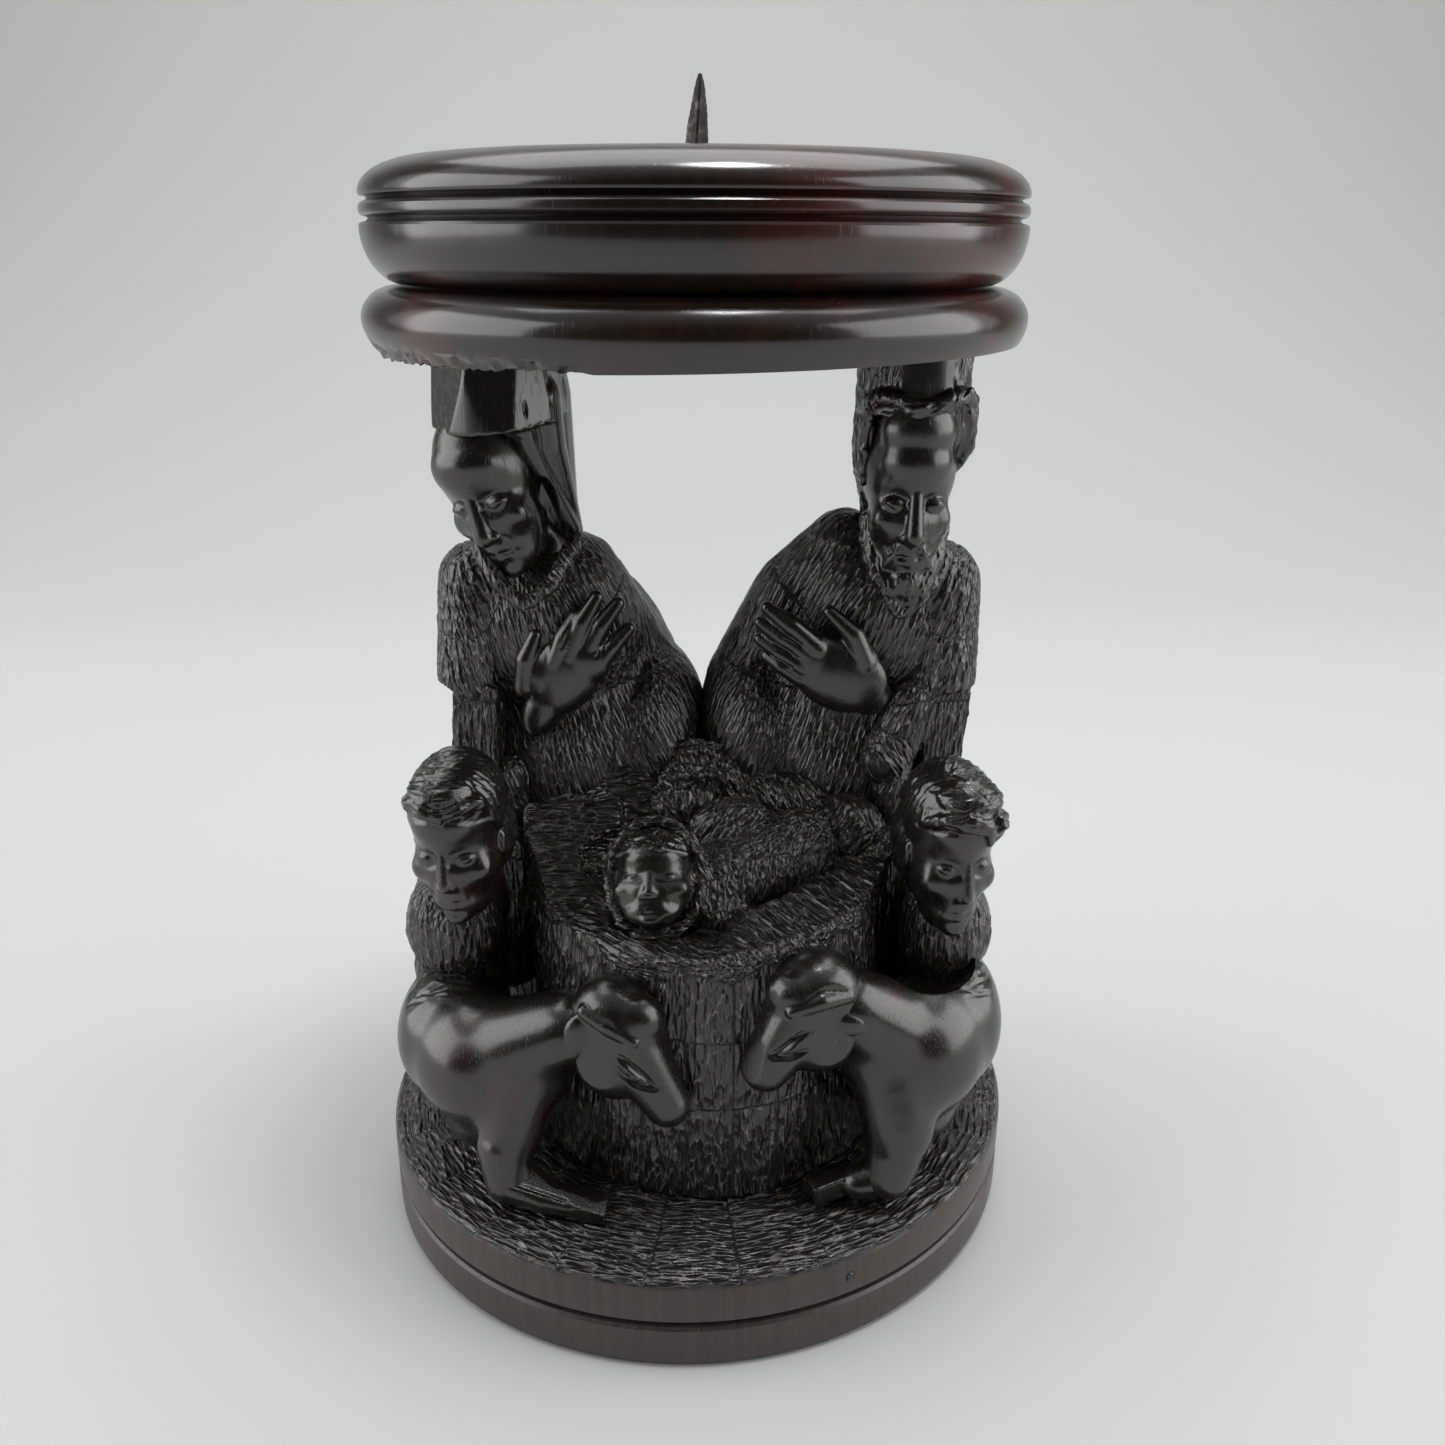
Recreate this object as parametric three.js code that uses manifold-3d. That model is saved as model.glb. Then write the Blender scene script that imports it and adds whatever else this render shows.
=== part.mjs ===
// Carved blackwood candle holder. Two kneeling adults carry a turned tray with a pricket spike;
// a crib with a swaddled infant, two children and two lambs are carved round their knees, and
// the whole stands on a round grooved base. Millimetres, +Z up, the front faces -Y.
// The origin is the centre of the underside of the base.
import * as THREE from 'three';
import { mergeVertices } from 'three/addons/utils/BufferGeometryUtils.js';
import Module from 'manifold-3d';

const wasm = await Module();
wasm.setup();

// ---------------------------------------------------------------- driving dimensions
const BASE_R = 56.8;          // mean radius of the plinth and of the ground
const BASE_OVAL = 0.018;      // the dried base is longer than round by this much, and as much narrower
const BASE_LONG_WAY = 50;     // direction of its long axis, degrees from +X to +Y
const PLINTH_TOP = 7.9;       // top of the loose plinth disc
const GROUND_TOP = 16.5;      // top of the carved ground
const TRAY_R = 50;            // widest radius of the candle tray
const CAPITAL_TOP = 158.9;    // top of the disc that rests on the two heads
const TRAY_BOTTOM = 159.2;    // underside of the tray, inside the dark neck groove
const TRAY_TOP = 176.5;       // crown of the tray's rounded rim
const DISH_FLOOR = 175;       // flat seat of the candle inside the rim
const SPIKE_TOP = 188.4;      // blunt tip of the pricket spike
const TURNED_AXIS = [-0.4, -0.9];    // the tray sits a little off the base's centre
const CAPITAL_SLOPE = 0.03;   // the underside of the capital rises to the right by this much
const CAPITAL_UNDER = 150.1;  // height of that underside on the axis
const DOWEL_R = 6;            // wooden dowel between the tray and the capital
const GAP = 0.3;              // clearance left between neighbouring solids

const TURNED_SIDES = 40;      // facets round a turned piece
const BALL_SIDES = 12;        // facets round a carved lobe
const BALL_RINGS = 8;         // facets from pole to pole of a carved lobe
const LIMB_SIDES = 8;         // facets round a limb

// ---------------------------------------------------------------- finishes
const finish = (color, roughness, metalness = 0) => (
  new THREE.MeshStandardMaterial({ color, roughness, metalness })
);
const POLISHED = finish(0x1c1514, 0.32);
const CHISELLED = finish(0x241d1a, 0.55);
const TURNED = finish(0x211514, 0.28);
const EDGE_BAND = finish(0x2d2320, 0.45);
const IRON = finish(0x2a2928, 0.5, 0.8);
const DOWEL_WOOD = finish(0x8a6a45, 0.6);

// ---------------------------------------------------------------- solids
// A closed geometry becomes a manifold solid once its shared corners are merged.
function solidOf(geometry) {
  geometry.deleteAttribute('normal');
  geometry.deleteAttribute('uv');
  const merged = mergeVertices(geometry, 1e-4);
  const corners = Array.from(merged.index.array);
  const triangles = [];
  for (let i = 0; i < corners.length; i += 3) {
    const [a, b, c] = corners.slice(i, i + 3);
    if (a !== b && b !== c && c !== a) triangles.push(a, b, c);
  }
  return new wasm.Manifold(new wasm.Mesh({
    numProp: 3,
    vertProperties: new Float32Array(merged.attributes.position.array),
    triVerts: new Uint32Array(triangles),
  }));
}

const radians = (degrees) => degrees * Math.PI / 180;

// A shape is a function of how far it is grown outwards, so that a neighbour can be cut back
// from it with a clearance.
const ball = (place, radii, turn = [0, 0, 0]) => (grow) => {
  const geometry = new THREE.SphereGeometry(1, BALL_SIDES, BALL_RINGS);
  geometry.rotateX(Math.PI / 2);
  geometry.scale(...radii.map((r) => r + grow));
  const euler = new THREE.Euler(...turn.map(radians), 'XYZ');
  geometry.applyMatrix4(new THREE.Matrix4().makeRotationFromEuler(euler));
  geometry.translate(...place);
  return solidOf(geometry);
};

// A round-ended limb that tapers from one joint to the next.
const limb = (from, to, r1, r2) => (grow) => {
  const start = new THREE.Vector3(...from);
  const end = new THREE.Vector3(...to);
  const length = start.distanceTo(end);
  const outline = [];
  const steps = 2;
  for (let i = -steps; i <= 0; i += 1) {
    const angle = radians(90 * i / steps);
    const r = r1 + grow;
    outline.push(new THREE.Vector2(i === -steps ? 0 : r * Math.cos(angle), r * Math.sin(angle)));
  }
  for (let i = 0; i <= steps; i += 1) {
    const angle = radians(90 * i / steps);
    const r = r2 + grow;
    const out = i === steps ? 0 : r * Math.cos(angle);
    outline.push(new THREE.Vector2(out, length + r * Math.sin(angle)));
  }
  const geometry = new THREE.LatheGeometry(outline, LIMB_SIDES);
  const up = new THREE.Vector3(0, 1, 0);
  const direction = end.clone().sub(start).normalize();
  const turn = new THREE.Quaternion().setFromUnitVectors(up, direction);
  geometry.applyQuaternion(turn);
  geometry.translate(...from);
  return solidOf(geometry);
};

// A chisel-flat block, turned about its own centre.
const block = (place, size, turn = [0, 0, 0]) => (grow) => {
  const geometry = new THREE.BoxGeometry(...size.map((s) => s + 2 * grow));
  const euler = new THREE.Euler(...turn.map(radians), 'XYZ');
  geometry.applyMatrix4(new THREE.Matrix4().makeRotationFromEuler(euler));
  geometry.translate(...place);
  return solidOf(geometry);
};

// A turned piece from its half profile, a list of [radius, height] from bottom to top.
const turned = (profile, axis = [0, 0], sides = TURNED_SIDES) => () => {
  const outline = profile.map(([r, z]) => new THREE.Vector2(r, z));
  const geometry = new THREE.LatheGeometry(outline, sides);
  geometry.rotateX(Math.PI / 2);
  geometry.translate(axis[0], axis[1], 0);
  return solidOf(geometry);
};

// A piece with a flat floor and lid whose plan is a polygon; grow moves its walls outwards.
const upright = (plan, low, high) => (grow) => {
  const corners = plan.map(([x, y]) => new THREE.Vector2(x, y));
  const middle = new THREE.Vector2();
  for (const corner of corners) middle.addScaledVector(corner, 1 / corners.length);
  const shape = new THREE.Shape(corners.map((corner) => {
    const away = corner.clone().sub(middle);
    return away.setLength(away.length() + grow * Math.SQRT2).add(middle);
  }));
  const depth = high - low + 2 * grow;
  const geometry = new THREE.ExtrudeGeometry(shape, { depth, bevelEnabled: false });
  geometry.translate(0, 0, low - grow);
  return solidOf(geometry);
};

// Several shapes fused into one.
const fused = (...shapes) => (grow) => shapes.map((s) => s(grow)).reduce((a, b) => a.add(b));

// One shape trimmed by others, kept as one body: chips that the cut leaves loose are dropped.
function trimmed(shape, others, clearance = GAP) {
  const cut = others.reduce((solid, other) => solid.subtract(other(clearance)), shape(0));
  const bodies = cut.decompose();
  return bodies.reduce((a, b) => (a.volume() > b.volume() ? a : b));
}

// ---------------------------------------------------------------- turned pieces
// The base was turned round and has dried slightly oval.
const oval = (solid) => (
  solid.rotate([0, 0, -BASE_LONG_WAY])
    .scale([1 + BASE_OVAL, 1 - BASE_OVAL, 1])
    .rotate([0, 0, BASE_LONG_WAY])
);
const plinthBlank = turned([
  [0, 0], [55.9, 0], [BASE_R, 1], [BASE_R, PLINTH_TOP - 0.9], [55.7, PLINTH_TOP], [0, PLINTH_TOP],
]);

const GROUND_BOTTOM = PLINTH_TOP + GAP;
const groundBlank = turned([
  [0, GROUND_BOTTOM], [55.7, GROUND_BOTTOM], [BASE_R, GROUND_BOTTOM + 0.9],
  [BASE_R, GROUND_TOP - 1], [55.8, GROUND_TOP], [0, GROUND_TOP],
]);

// The capital's edge is a half-round torus; its underside is sawn slightly out of level.
const capitalBlank = turned([
  [0, 146], [45.6, 146], [47.6, 148], [49.3, 150.3], [50.1, 152.2], [50.4, 154.2],
  [49.9, 156.2], [48.6, 157.9], [46.9, 158.7], [44.7, CAPITAL_TOP], [0, CAPITAL_TOP],
], TURNED_AXIS);
const sawnAway = block(
  [0, 0, CAPITAL_UNDER - 20],
  [140, 140, 40],
  [0, -THREE.MathUtils.radToDeg(Math.atan(CAPITAL_SLOPE)), 0],
);

// From the underside up: the coved band, two fine grooves with a bead between, the rounded rim
// and the shallow dish that the candle stands in.
const trayBlank = turned([
  [0, TRAY_BOTTOM], [44.7, TRAY_BOTTOM], [46.9, 160.1], [48.6, 162], [49.6, 164.4],
  [TRAY_R, 167.6], [48.6, 168.1], [49.8, 168.9], [49.8, 170], [48.6, 170.8], [49.7, 171.4],
  [49.3, 173], [47.9, 174.6], [44.6, 175.9], [41, TRAY_TOP], [38.2, 176.1],
  [37, DISH_FLOOR], [0, DISH_FLOOR],
], TURNED_AXIS);

const [AXIS_X, AXIS_Y] = TURNED_AXIS;
const trayDowel = limb([AXIS_X, AXIS_Y, 155.5], [AXIS_X, AXIS_Y, 163], DOWEL_R, DOWEL_R);

// ---------------------------------------------------------------- pricket spike
// A square-forged nail: a round shank driven into the tray and a flat-sided point above it.
const SPIKE_FOOT = DISH_FLOOR;
const spikeSections = [
  // height, half width left, half width right, half depth
  [SPIKE_FOOT, 2.3, 2.2, 2.1],
  [SPIKE_FOOT + 6, 1.6, 1.9, 1.6],
  [SPIKE_FOOT + 10.5, 0.7, 1.5, 1.0],
  [SPIKE_TOP - 0.8, -0.1, 1.1, 0.5],
  [SPIKE_TOP, -0.3, 0.9, 0.3],
];
const spikePoint = () => {
  const corners = spikeSections.flatMap(([z, left, right, deep]) => [
    [-left, -deep * 0.4, z], [(right - left) * 0.3, -deep, z], [right, -deep * 0.5, z],
    [right, deep * 0.5, z], [(right - left) * 0.3, deep, z], [-left, deep * 0.4, z],
  ]);
  const around = 6;
  const faces = [];
  for (let row = 0; row + 1 < spikeSections.length; row += 1) {
    for (let i = 0; i < around; i += 1) {
      const a = row * around + i;
      const b = row * around + (i + 1) % around;
      faces.push(a, b, b + around, a, b + around, a + around);
    }
  }
  const lid = (spikeSections.length - 1) * around;
  for (let i = 1; i + 1 < around; i += 1) faces.push(0, i + 1, i, lid, lid + i, lid + i + 1);
  const geometry = new THREE.BufferGeometry();
  geometry.setAttribute('position', new THREE.Float32BufferAttribute(corners.flat(), 3));
  geometry.setIndex(faces);
  geometry.translate(AXIS_X + 0.2, AXIS_Y, 0);
  return solidOf(geometry);
};
const spikeShank = limb([AXIS_X, AXIS_Y, 171.3], [AXIS_X, AXIS_Y, 175.2], 1.4, 1.4);
const spike = fused(spikePoint, spikeShank);

// ---------------------------------------------------------------- kneeling woman, left
const womanFace = ball([-32.4, 0.4, 122.3], [7.7, 9, 13], [14, -13, -24]);
const womanVeil = fused(
  ball([-32, 6.5, 138], [10.7, 9.8, 15.5]),
  limb([-31.6, 5.5, 138], [-31.6, 5.5, 146], 9.6, 9.6),
  ball([-29.8, 9, 124], [8.6, 9.5, 16], [0, -8, 0]),
);
const womanRobe = fused(
  ball([-27, 10.5, 101], [17.2, 13, 18.5], [0, -14, 0]),
  ball([-23.2, 20.5, 72], [22.2, 21.5, 40]),
  ball([-8, 14, 79], [9.5, 14, 18.5]),
  limb([-20, 12, 112], [-8, 14, 91], 5.2, 5.4),
  upright([[-0.4, 5.5], [-0.4, 46], [-14, 45], [-28, 39.5], [-38.5, 29], [-45, 15], [-46, 3], [-28, 3]],
    GROUND_TOP + GAP, 58),
);
const womanSleeve = fused(
  limb([-36.5, 4, 104], [-38.2, 1.5, 91], 7.4, 6.2),
  limb([-38.2, 0.6, 93.5], [-36.6, -0.6, 84], 4.6, 5.4),
);
const womanHand = fused(
  limb([-30.5, -2.2, 83.5], [-26.6, -3.2, 92], 4.4, 5.0),
  limb([-26.6, -3.2, 92], [-22.6, -3.2, 98], 5.0, 4.2),
  limb([-23.5, -3.4, 98], [-16.6, -1.6, 108], 2.0, 1.5),
  limb([-21, -3.4, 97.5], [-13, -0.9, 107.6], 2.0, 1.5),
  limb([-20, -3.4, 95.5], [-11.6, -0.6, 103.6], 1.9, 1.4),
  limb([-28.3, -3, 94], [-26.8, -2.6, 102], 1.9, 1.4),
);

// ---------------------------------------------------------------- kneeling man, right
const manFace = fused(
  ball([35, 0.2, 128], [7.6, 8.9, 13.5], [8, 4, 3]),
  ball([33.6, -1.4, 114.5], [5.4, 6, 8.6], [14, 6, 0]),
);
const manHair = fused(
  limb([34.8, 6, 138], [34.8, 6, 145.6], 9, 8.6),
  ball([37.8, 7, 135.5], [7.2, 9, 11.5]),
  ball([31.8, 8.5, 126], [6.4, 8, 15]),
);
const manRobe = fused(
  ball([32.5, 11.5, 102.5], [17.2, 13, 17.5], [0, 8, 0]),
  limb([25, 11, 116], [15.4, 12, 107.5], 6.2, 6),
  limb([15.4, 12, 107.5], [6.2, 13, 90.5], 6, 5.6),
  ball([24.6, 20.5, 72], [22.4, 21.5, 40]),
  ball([9, 14, 79.5], [10, 14, 19]),
  upright([[0.4, 5.5], [29, 3], [46.5, 3], [45.5, 15], [39, 29], [28.5, 39.5], [14, 45], [0.4, 46]],
    GROUND_TOP + GAP, 58),
);
const manSleeve = fused(
  limb([42.4, 4.5, 105], [43, 2.5, 90], 6.2, 5.6),
  limb([38.4, 0.2, 91.6], [35, -1.4, 82.5], 5.0, 5.2),
);
const manHand = fused(
  limb([31.2, -1.8, 89.6], [25.4, -3.2, 93.8], 4.2, 5.2),
  limb([25.4, -3.2, 93.8], [20.8, -3.2, 98], 5.2, 4.2),
  limb([21.5, -3.2, 99], [13.8, -0.8, 107.6], 1.9, 1.5),
  limb([20, -3.4, 98], [10.4, -0.4, 105.6], 1.9, 1.4),
  limb([19.4, -3.4, 96], [10, 0, 102.4], 1.9, 1.4),
  limb([19.4, -3.3, 94], [11.4, 0.6, 99.4], 1.8, 1.3),
  limb([25.6, -3, 97], [21.6, -2.4, 105.2], 2.0, 1.4),
);

// ---------------------------------------------------------------- crib and infant
const CRIB_RIM = 61;
const crib = fused(
  upright([[-29.3, -10], [-27.5, -17], [-22.4, -25], [-12.6, -34], [0.8, -38], [9.6, -36.4],
    [19, -31.4], [28.8, -22], [33.6, -10], [30, 2.5], [-26, 2.5]], GROUND_TOP + GAP, CRIB_RIM),
  ball([0, -1, 60], [27, 12, 9]),
);
const cribHollow = ball([0.5, -19, 66.5], [22, 13, 9.6]);
const cribHay = fused(
  ball([-2, 1.5, 71], [20, 7.5, 9.4]),
  ball([24, -4, 68], [8.6, 8, 7.6]),
);
const infantHead = ball([-7, -22, 65], [7.2, 7.2, 7.6]);
const infantWrap = fused(
  ball([-4.5, -19, 62], [9.5, 9.2, 5.2]),
  ball([10, -11, 66], [15.5, 8.2, 7.2], [0, -8, 28]),
  ball([5.5, -5, 73.5], [7.6, 5, 5]),
);

// ---------------------------------------------------------------- children
const leftChildHead = ball([-39.2, -18.2, 73], [8.2, 8.8, 13.8], [4, -5, -10]);
const leftChildBust = fused(
  ball([-42, -14.5, 55], [8.6, 9, 10]),
  limb([-41.5, -13, 44], [-40.5, -13, 62], 8.4, 6.8),
);
const rightChildHead = ball([40.4, -18.6, 71.8], [8.2, 8.8, 14.4], [4, 3, 18]);
const rightChildBust = fused(
  ball([42.6, -14.5, 56], [7.8, 9, 12]),
  limb([41, -13, 44], [41, -13, 62], 8.6, 7),
);

// ---------------------------------------------------------------- lambs
const leftLambBody = fused(
  ball([-34, -30.5, 38.4], [9.8, 9, 11.4], [0, 0, -40]),
  ball([-41.8, -19, 38], [9.8, 13, 12.6], [0, 0, -20]),
  ball([-45, -3, 34], [6.6, 12, 12.6]),
  limb([-31, -32.5, 42], [-22, -35, 51], 7.4, 5.4),
  limb([-33.2, -33, 32], [-31.2, -38.5, 23], 5.2, 3.2),
);
const leftLambHead = fused(
  limb([-14, -36, 52.4], [-3.4, -41.2, 35.4], 7.4, 3.2),
  ball([-18.2, -37.5, 50.5], [3.8, 2.8, 5], [0, 0, 0]),
);
const leftLambForeleg = fused(
  limb([-30.5, -40, 20.4], [-18, -42.4, 20.2], 3.2, 2.6),
  block([-16.4, -42.5, 19.4], [5.4, 4.6, 4.4], [0, 0, -8]),
);
const rightLambBody = fused(
  ball([34.2, -30.5, 41.4], [10.4, 9, 12.4], [0, 0, 38]),
  ball([42.2, -20, 41.5], [9.2, 13, 13.4], [0, 0, 20]),
  ball([45, -3, 36], [7, 12, 13.4]),
  limb([31, -32.5, 46], [24, -35, 53], 7.2, 5.6),
  limb([33.4, -32, 34], [31, -36.4, 24], 5.4, 3.4),
);
const rightLambHead = fused(
  limb([16.6, -36.4, 56], [9.8, -41, 42.6], 7.2, 3.2),
  ball([22.6, -38, 51], [4.4, 2.8, 4.6]),
);
const rightLambForeleg = fused(
  limb([30, -38.6, 20.6], [23, -38.8, 20.2], 3.0, 2.6),
  block([21.2, -38.9, 19.4], [5.4, 4.4, 4.4], [0, 0, 14]),
);

// The fence of solid wood that everything carved above the ground keeps off.
const groundSlab = block([0, 0, GROUND_TOP - 10], [130, 130, 20]);
const capitalKeepOff = () => capitalBlank().translate([0, 0, -GAP]).subtract(
  sawnAway(0).translate([0, 0, -GAP]),
);

// ---------------------------------------------------------------- filler plug in the edge band
const PLUG_ANGLE = radians(-64);
const PLUG_HEIGHT = 12;
const plugAt = (radius) => [radius * Math.cos(PLUG_ANGLE), radius * Math.sin(PLUG_ANGLE), PLUG_HEIGHT];
const sidePlug = limb(plugAt(50), plugAt(BASE_R - 0.9), 0.9, 0.9);

// ---------------------------------------------------------------- assembly
const object = new THREE.Group();

function add(name, solid, material) {
  const mesh = solid.getMesh();
  const geometry = new THREE.BufferGeometry();
  geometry.setAttribute('position', new THREE.BufferAttribute(new Float32Array(mesh.vertProperties), 3));
  geometry.setIndex(new THREE.BufferAttribute(new Uint32Array(mesh.triVerts), 1));
  geometry.computeVertexNormals();
  const piece = new THREE.Mesh(geometry, material);
  piece.name = name;
  object.add(piece);
}

add('base_plinth', oval(plinthBlank()), EDGE_BAND);
add('base_ground', trimmed(() => oval(groundBlank()), [sidePlug]), EDGE_BAND);
add('side_plug', sidePlug(0), DOWEL_WOOD);

// Each carved form is cut back from the ones named before it.
const carved = [
  ['woman_face', womanFace, POLISHED],
  ['man_face', manFace, POLISHED],
  ['woman_hand', womanHand, POLISHED],
  ['man_hand', manHand, POLISHED],
  ['woman_veil', womanVeil, POLISHED],
  ['man_hair', manHair, POLISHED],
  ['woman_sleeve', womanSleeve, CHISELLED],
  ['man_sleeve', manSleeve, CHISELLED],
  ['infant_head', infantHead, POLISHED],
  ['left_child_head', leftChildHead, POLISHED],
  ['right_child_head', rightChildHead, POLISHED],
  ['left_lamb_head', leftLambHead, POLISHED],
  ['right_lamb_head', rightLambHead, POLISHED],
  ['left_lamb_foreleg', leftLambForeleg, POLISHED],
  ['right_lamb_foreleg', rightLambForeleg, POLISHED],
  ['left_lamb_body', leftLambBody, POLISHED],
  ['right_lamb_body', rightLambBody, POLISHED],
  ['infant_wrap', infantWrap, CHISELLED],
  ['left_child_bust', leftChildBust, CHISELLED],
  ['right_child_bust', rightChildBust, CHISELLED],
  ['crib_hay', cribHay, CHISELLED],
  ['crib', crib, CHISELLED],
  ['woman_robe', womanRobe, CHISELLED],
  ['man_robe', manRobe, CHISELLED],
];
const hollows = { crib: [cribHollow] };
const earlier = [groundSlab, capitalKeepOff];
for (const [name, shape, material] of carved) {
  let solid = trimmed(shape, earlier);
  for (const hollow of hollows[name] ?? []) solid = trimmed(() => solid, [hollow], 0);
  add(name, solid, material);
  earlier.push(shape);
}

add('capital_disc', trimmed(capitalBlank, [trayDowel, () => sawnAway(0)]), TURNED);
add('tray_dowel', trayDowel(0), DOWEL_WOOD);
add('candle_tray', trimmed(trayBlank, [trayDowel, spike]), TURNED);
add('candle_spike', spike(0), IRON);

export default object;
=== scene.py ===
import math

import bpy
import numpy as np
from mathutils import Matrix, Vector, kdtree


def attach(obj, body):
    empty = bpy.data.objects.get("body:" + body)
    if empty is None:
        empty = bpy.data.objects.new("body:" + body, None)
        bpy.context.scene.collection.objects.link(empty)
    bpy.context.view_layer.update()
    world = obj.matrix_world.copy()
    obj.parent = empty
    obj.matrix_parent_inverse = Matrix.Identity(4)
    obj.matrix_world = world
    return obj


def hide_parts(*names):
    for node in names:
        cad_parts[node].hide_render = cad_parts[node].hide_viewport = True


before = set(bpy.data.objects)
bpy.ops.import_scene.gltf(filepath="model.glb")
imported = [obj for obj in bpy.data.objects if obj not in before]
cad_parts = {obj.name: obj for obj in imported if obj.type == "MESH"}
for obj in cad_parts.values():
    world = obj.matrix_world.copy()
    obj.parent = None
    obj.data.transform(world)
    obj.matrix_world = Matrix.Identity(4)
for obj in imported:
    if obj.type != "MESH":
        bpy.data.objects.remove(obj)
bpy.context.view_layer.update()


# ==== Camera =================================================================================
# Stands just under the level of the tray's rim, a hand's length in front of the holder and a
# little to its right, and looks down at the base. Its film is level but for a hair of roll.
MM = 0.001
CAMERA_PLACE = (3.96, -218.3, 165.94)
CAMERA_DIP = 20.02
CAMERA_ROLL = 0.22
LENS = 33.28

camera_data = bpy.data.cameras.new("camera")
camera_data.sensor_width = 36
camera_data.lens = LENS
camera_data.clip_start = 0.01
camera = bpy.data.objects.new("camera", camera_data)
bpy.context.scene.collection.objects.link(camera)
aim = Matrix.Rotation(math.radians(90 - CAMERA_DIP), 4, "X")
aim = aim @ Matrix.Rotation(math.radians(CAMERA_ROLL), 4, "Z")
camera.matrix_world = Matrix.Translation(Vector(CAMERA_PLACE) * MM) @ aim
bpy.context.scene.camera = camera


# ==== Backdrop and light =====================================================================
# A pale sheet of paper that curves up behind the holder, a large soft light overhead and two
# dim ones at the sides, as in a small light tent.
SWEEP_WIDTH = 3.0
SWEEP_START = -0.55
SWEEP_BEND = 0.42
SWEEP_RADIUS = 0.45
SWEEP_TOP = 1.6
ROOM_COLOUR = (0.78, 0.80, 0.80)
ROOM_FRONT = 0.03
ROOM_SIDES = 0.85
ROOM_SEEN = 0.80


def soft_light(name, place, target, size, power):
    data = bpy.data.lights.new(name, "AREA")
    data.shape = "RECTANGLE"
    data.size, data.size_y = size
    data.energy = power
    light = bpy.data.objects.new(name, data)
    bpy.context.scene.collection.objects.link(light)
    facing = (Vector(target) - Vector(place)).to_track_quat("-Z", "Y")
    light.matrix_world = Matrix.Translation(Vector(place)) @ facing.to_matrix().to_4x4()


bpy.ops.object.select_all(action="DESELECT")
bpy.ops.mesh.primitive_plane_add(size=1, location=(0, 0, 0))
sweep = bpy.context.object
sweep.name = "paper_sweep"
outline = [(SWEEP_START, 0.0)]
for step in range(13):
    angle = math.radians(90 * step / 12)
    outline.append((
        SWEEP_BEND + SWEEP_RADIUS * math.sin(angle),
        SWEEP_RADIUS * (1 - math.cos(angle)),
    ))
outline.append((SWEEP_BEND + SWEEP_RADIUS, SWEEP_TOP))
corners = [(x, y, z) for y, z in outline for x in (-SWEEP_WIDTH / 2, SWEEP_WIDTH / 2)]
quads = [(2 * i, 2 * i + 1, 2 * i + 3, 2 * i + 2) for i in range(len(outline) - 1)]
sweep.data.clear_geometry()
sweep.data.from_pydata(corners, [], quads)
paper = bpy.data.materials.new("white_paper")
paper.use_nodes = True
paper.node_tree.nodes["Principled BSDF"].inputs["Base Color"].default_value = (0.515, 0.522, 0.506, 1)
paper.node_tree.nodes["Principled BSDF"].inputs["Roughness"].default_value = 0.9
sweep.data.materials.append(paper)
bpy.ops.object.shade_smooth()

soft_light("overhead", (0.0, 0.32, 0.85), (0, 0.22, 0), (1.0, 0.8), 5.2)
soft_light("ceiling_lamp", (0.06, -0.06, 0.72), (0, 0, 0.05), (0.13, 0.13), 1.4)
soft_light("left_wall", (-0.75, -0.14, 0.35), (0, 0, 0.1), (0.8, 0.7), 4.2)
soft_light("right_wall", (0.75, -0.14, 0.35), (0, 0, 0.1), (0.8, 0.7), 4.2)

world = bpy.data.worlds.new("room")
world.use_nodes = True
room = world.node_tree
direction = room.nodes.new("ShaderNodeSeparateXYZ")
towards_front = room.nodes.new("ShaderNodeMapRange")
towards_front.inputs["From Min"].default_value = -0.85
towards_front.inputs["From Max"].default_value = 0.2
towards_front.inputs["To Min"].default_value = ROOM_FRONT
towards_front.inputs["To Max"].default_value = ROOM_SIDES
seen = room.nodes.new("ShaderNodeMix")
seen.inputs["B"].default_value = ROOM_SEEN
for start, end in (
    (room.nodes.new("ShaderNodeTexCoord").outputs["Generated"], direction.inputs["Vector"]),
    (direction.outputs["Y"], towards_front.inputs["Value"]),
    (room.nodes.new("ShaderNodeLightPath").outputs["Is Camera Ray"], seen.inputs["Factor"]),
    (towards_front.outputs["Result"], seen.inputs["A"]),
    (seen.outputs["Result"], room.nodes["Background"].inputs["Strength"]),
):
    room.links.new(start, end)
room.nodes["Background"].inputs["Color"].default_value = (*ROOM_COLOUR, 1)
bpy.context.scene.world = world
bpy.context.scene.view_settings.view_transform = "Standard"


# ==== Plinth, ground and plug ================================================================
# The base is two turned discs of African blackwood with a fine dark joint between them. The lower
# one is plain; the upper one has its top cut all over with gouge strokes for straw-strewn ground.
# A small round plug fills an old flaw in its edge. Oiled, not waxed, so browner and duller.
PLUG_WAY = math.radians(-64)
PLUG_HEIGHT = 12
GROUND_TOP = 16.5


def socket(group, name, way, kind, value=None):
    made = group.interface.new_socket(name=name, in_out=way, socket_type=kind)
    if value is not None:
        made.default_value = value
    return made


def joined(tree, pairs):
    for start, end in pairs:
        tree.links.new(start, end)


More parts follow.
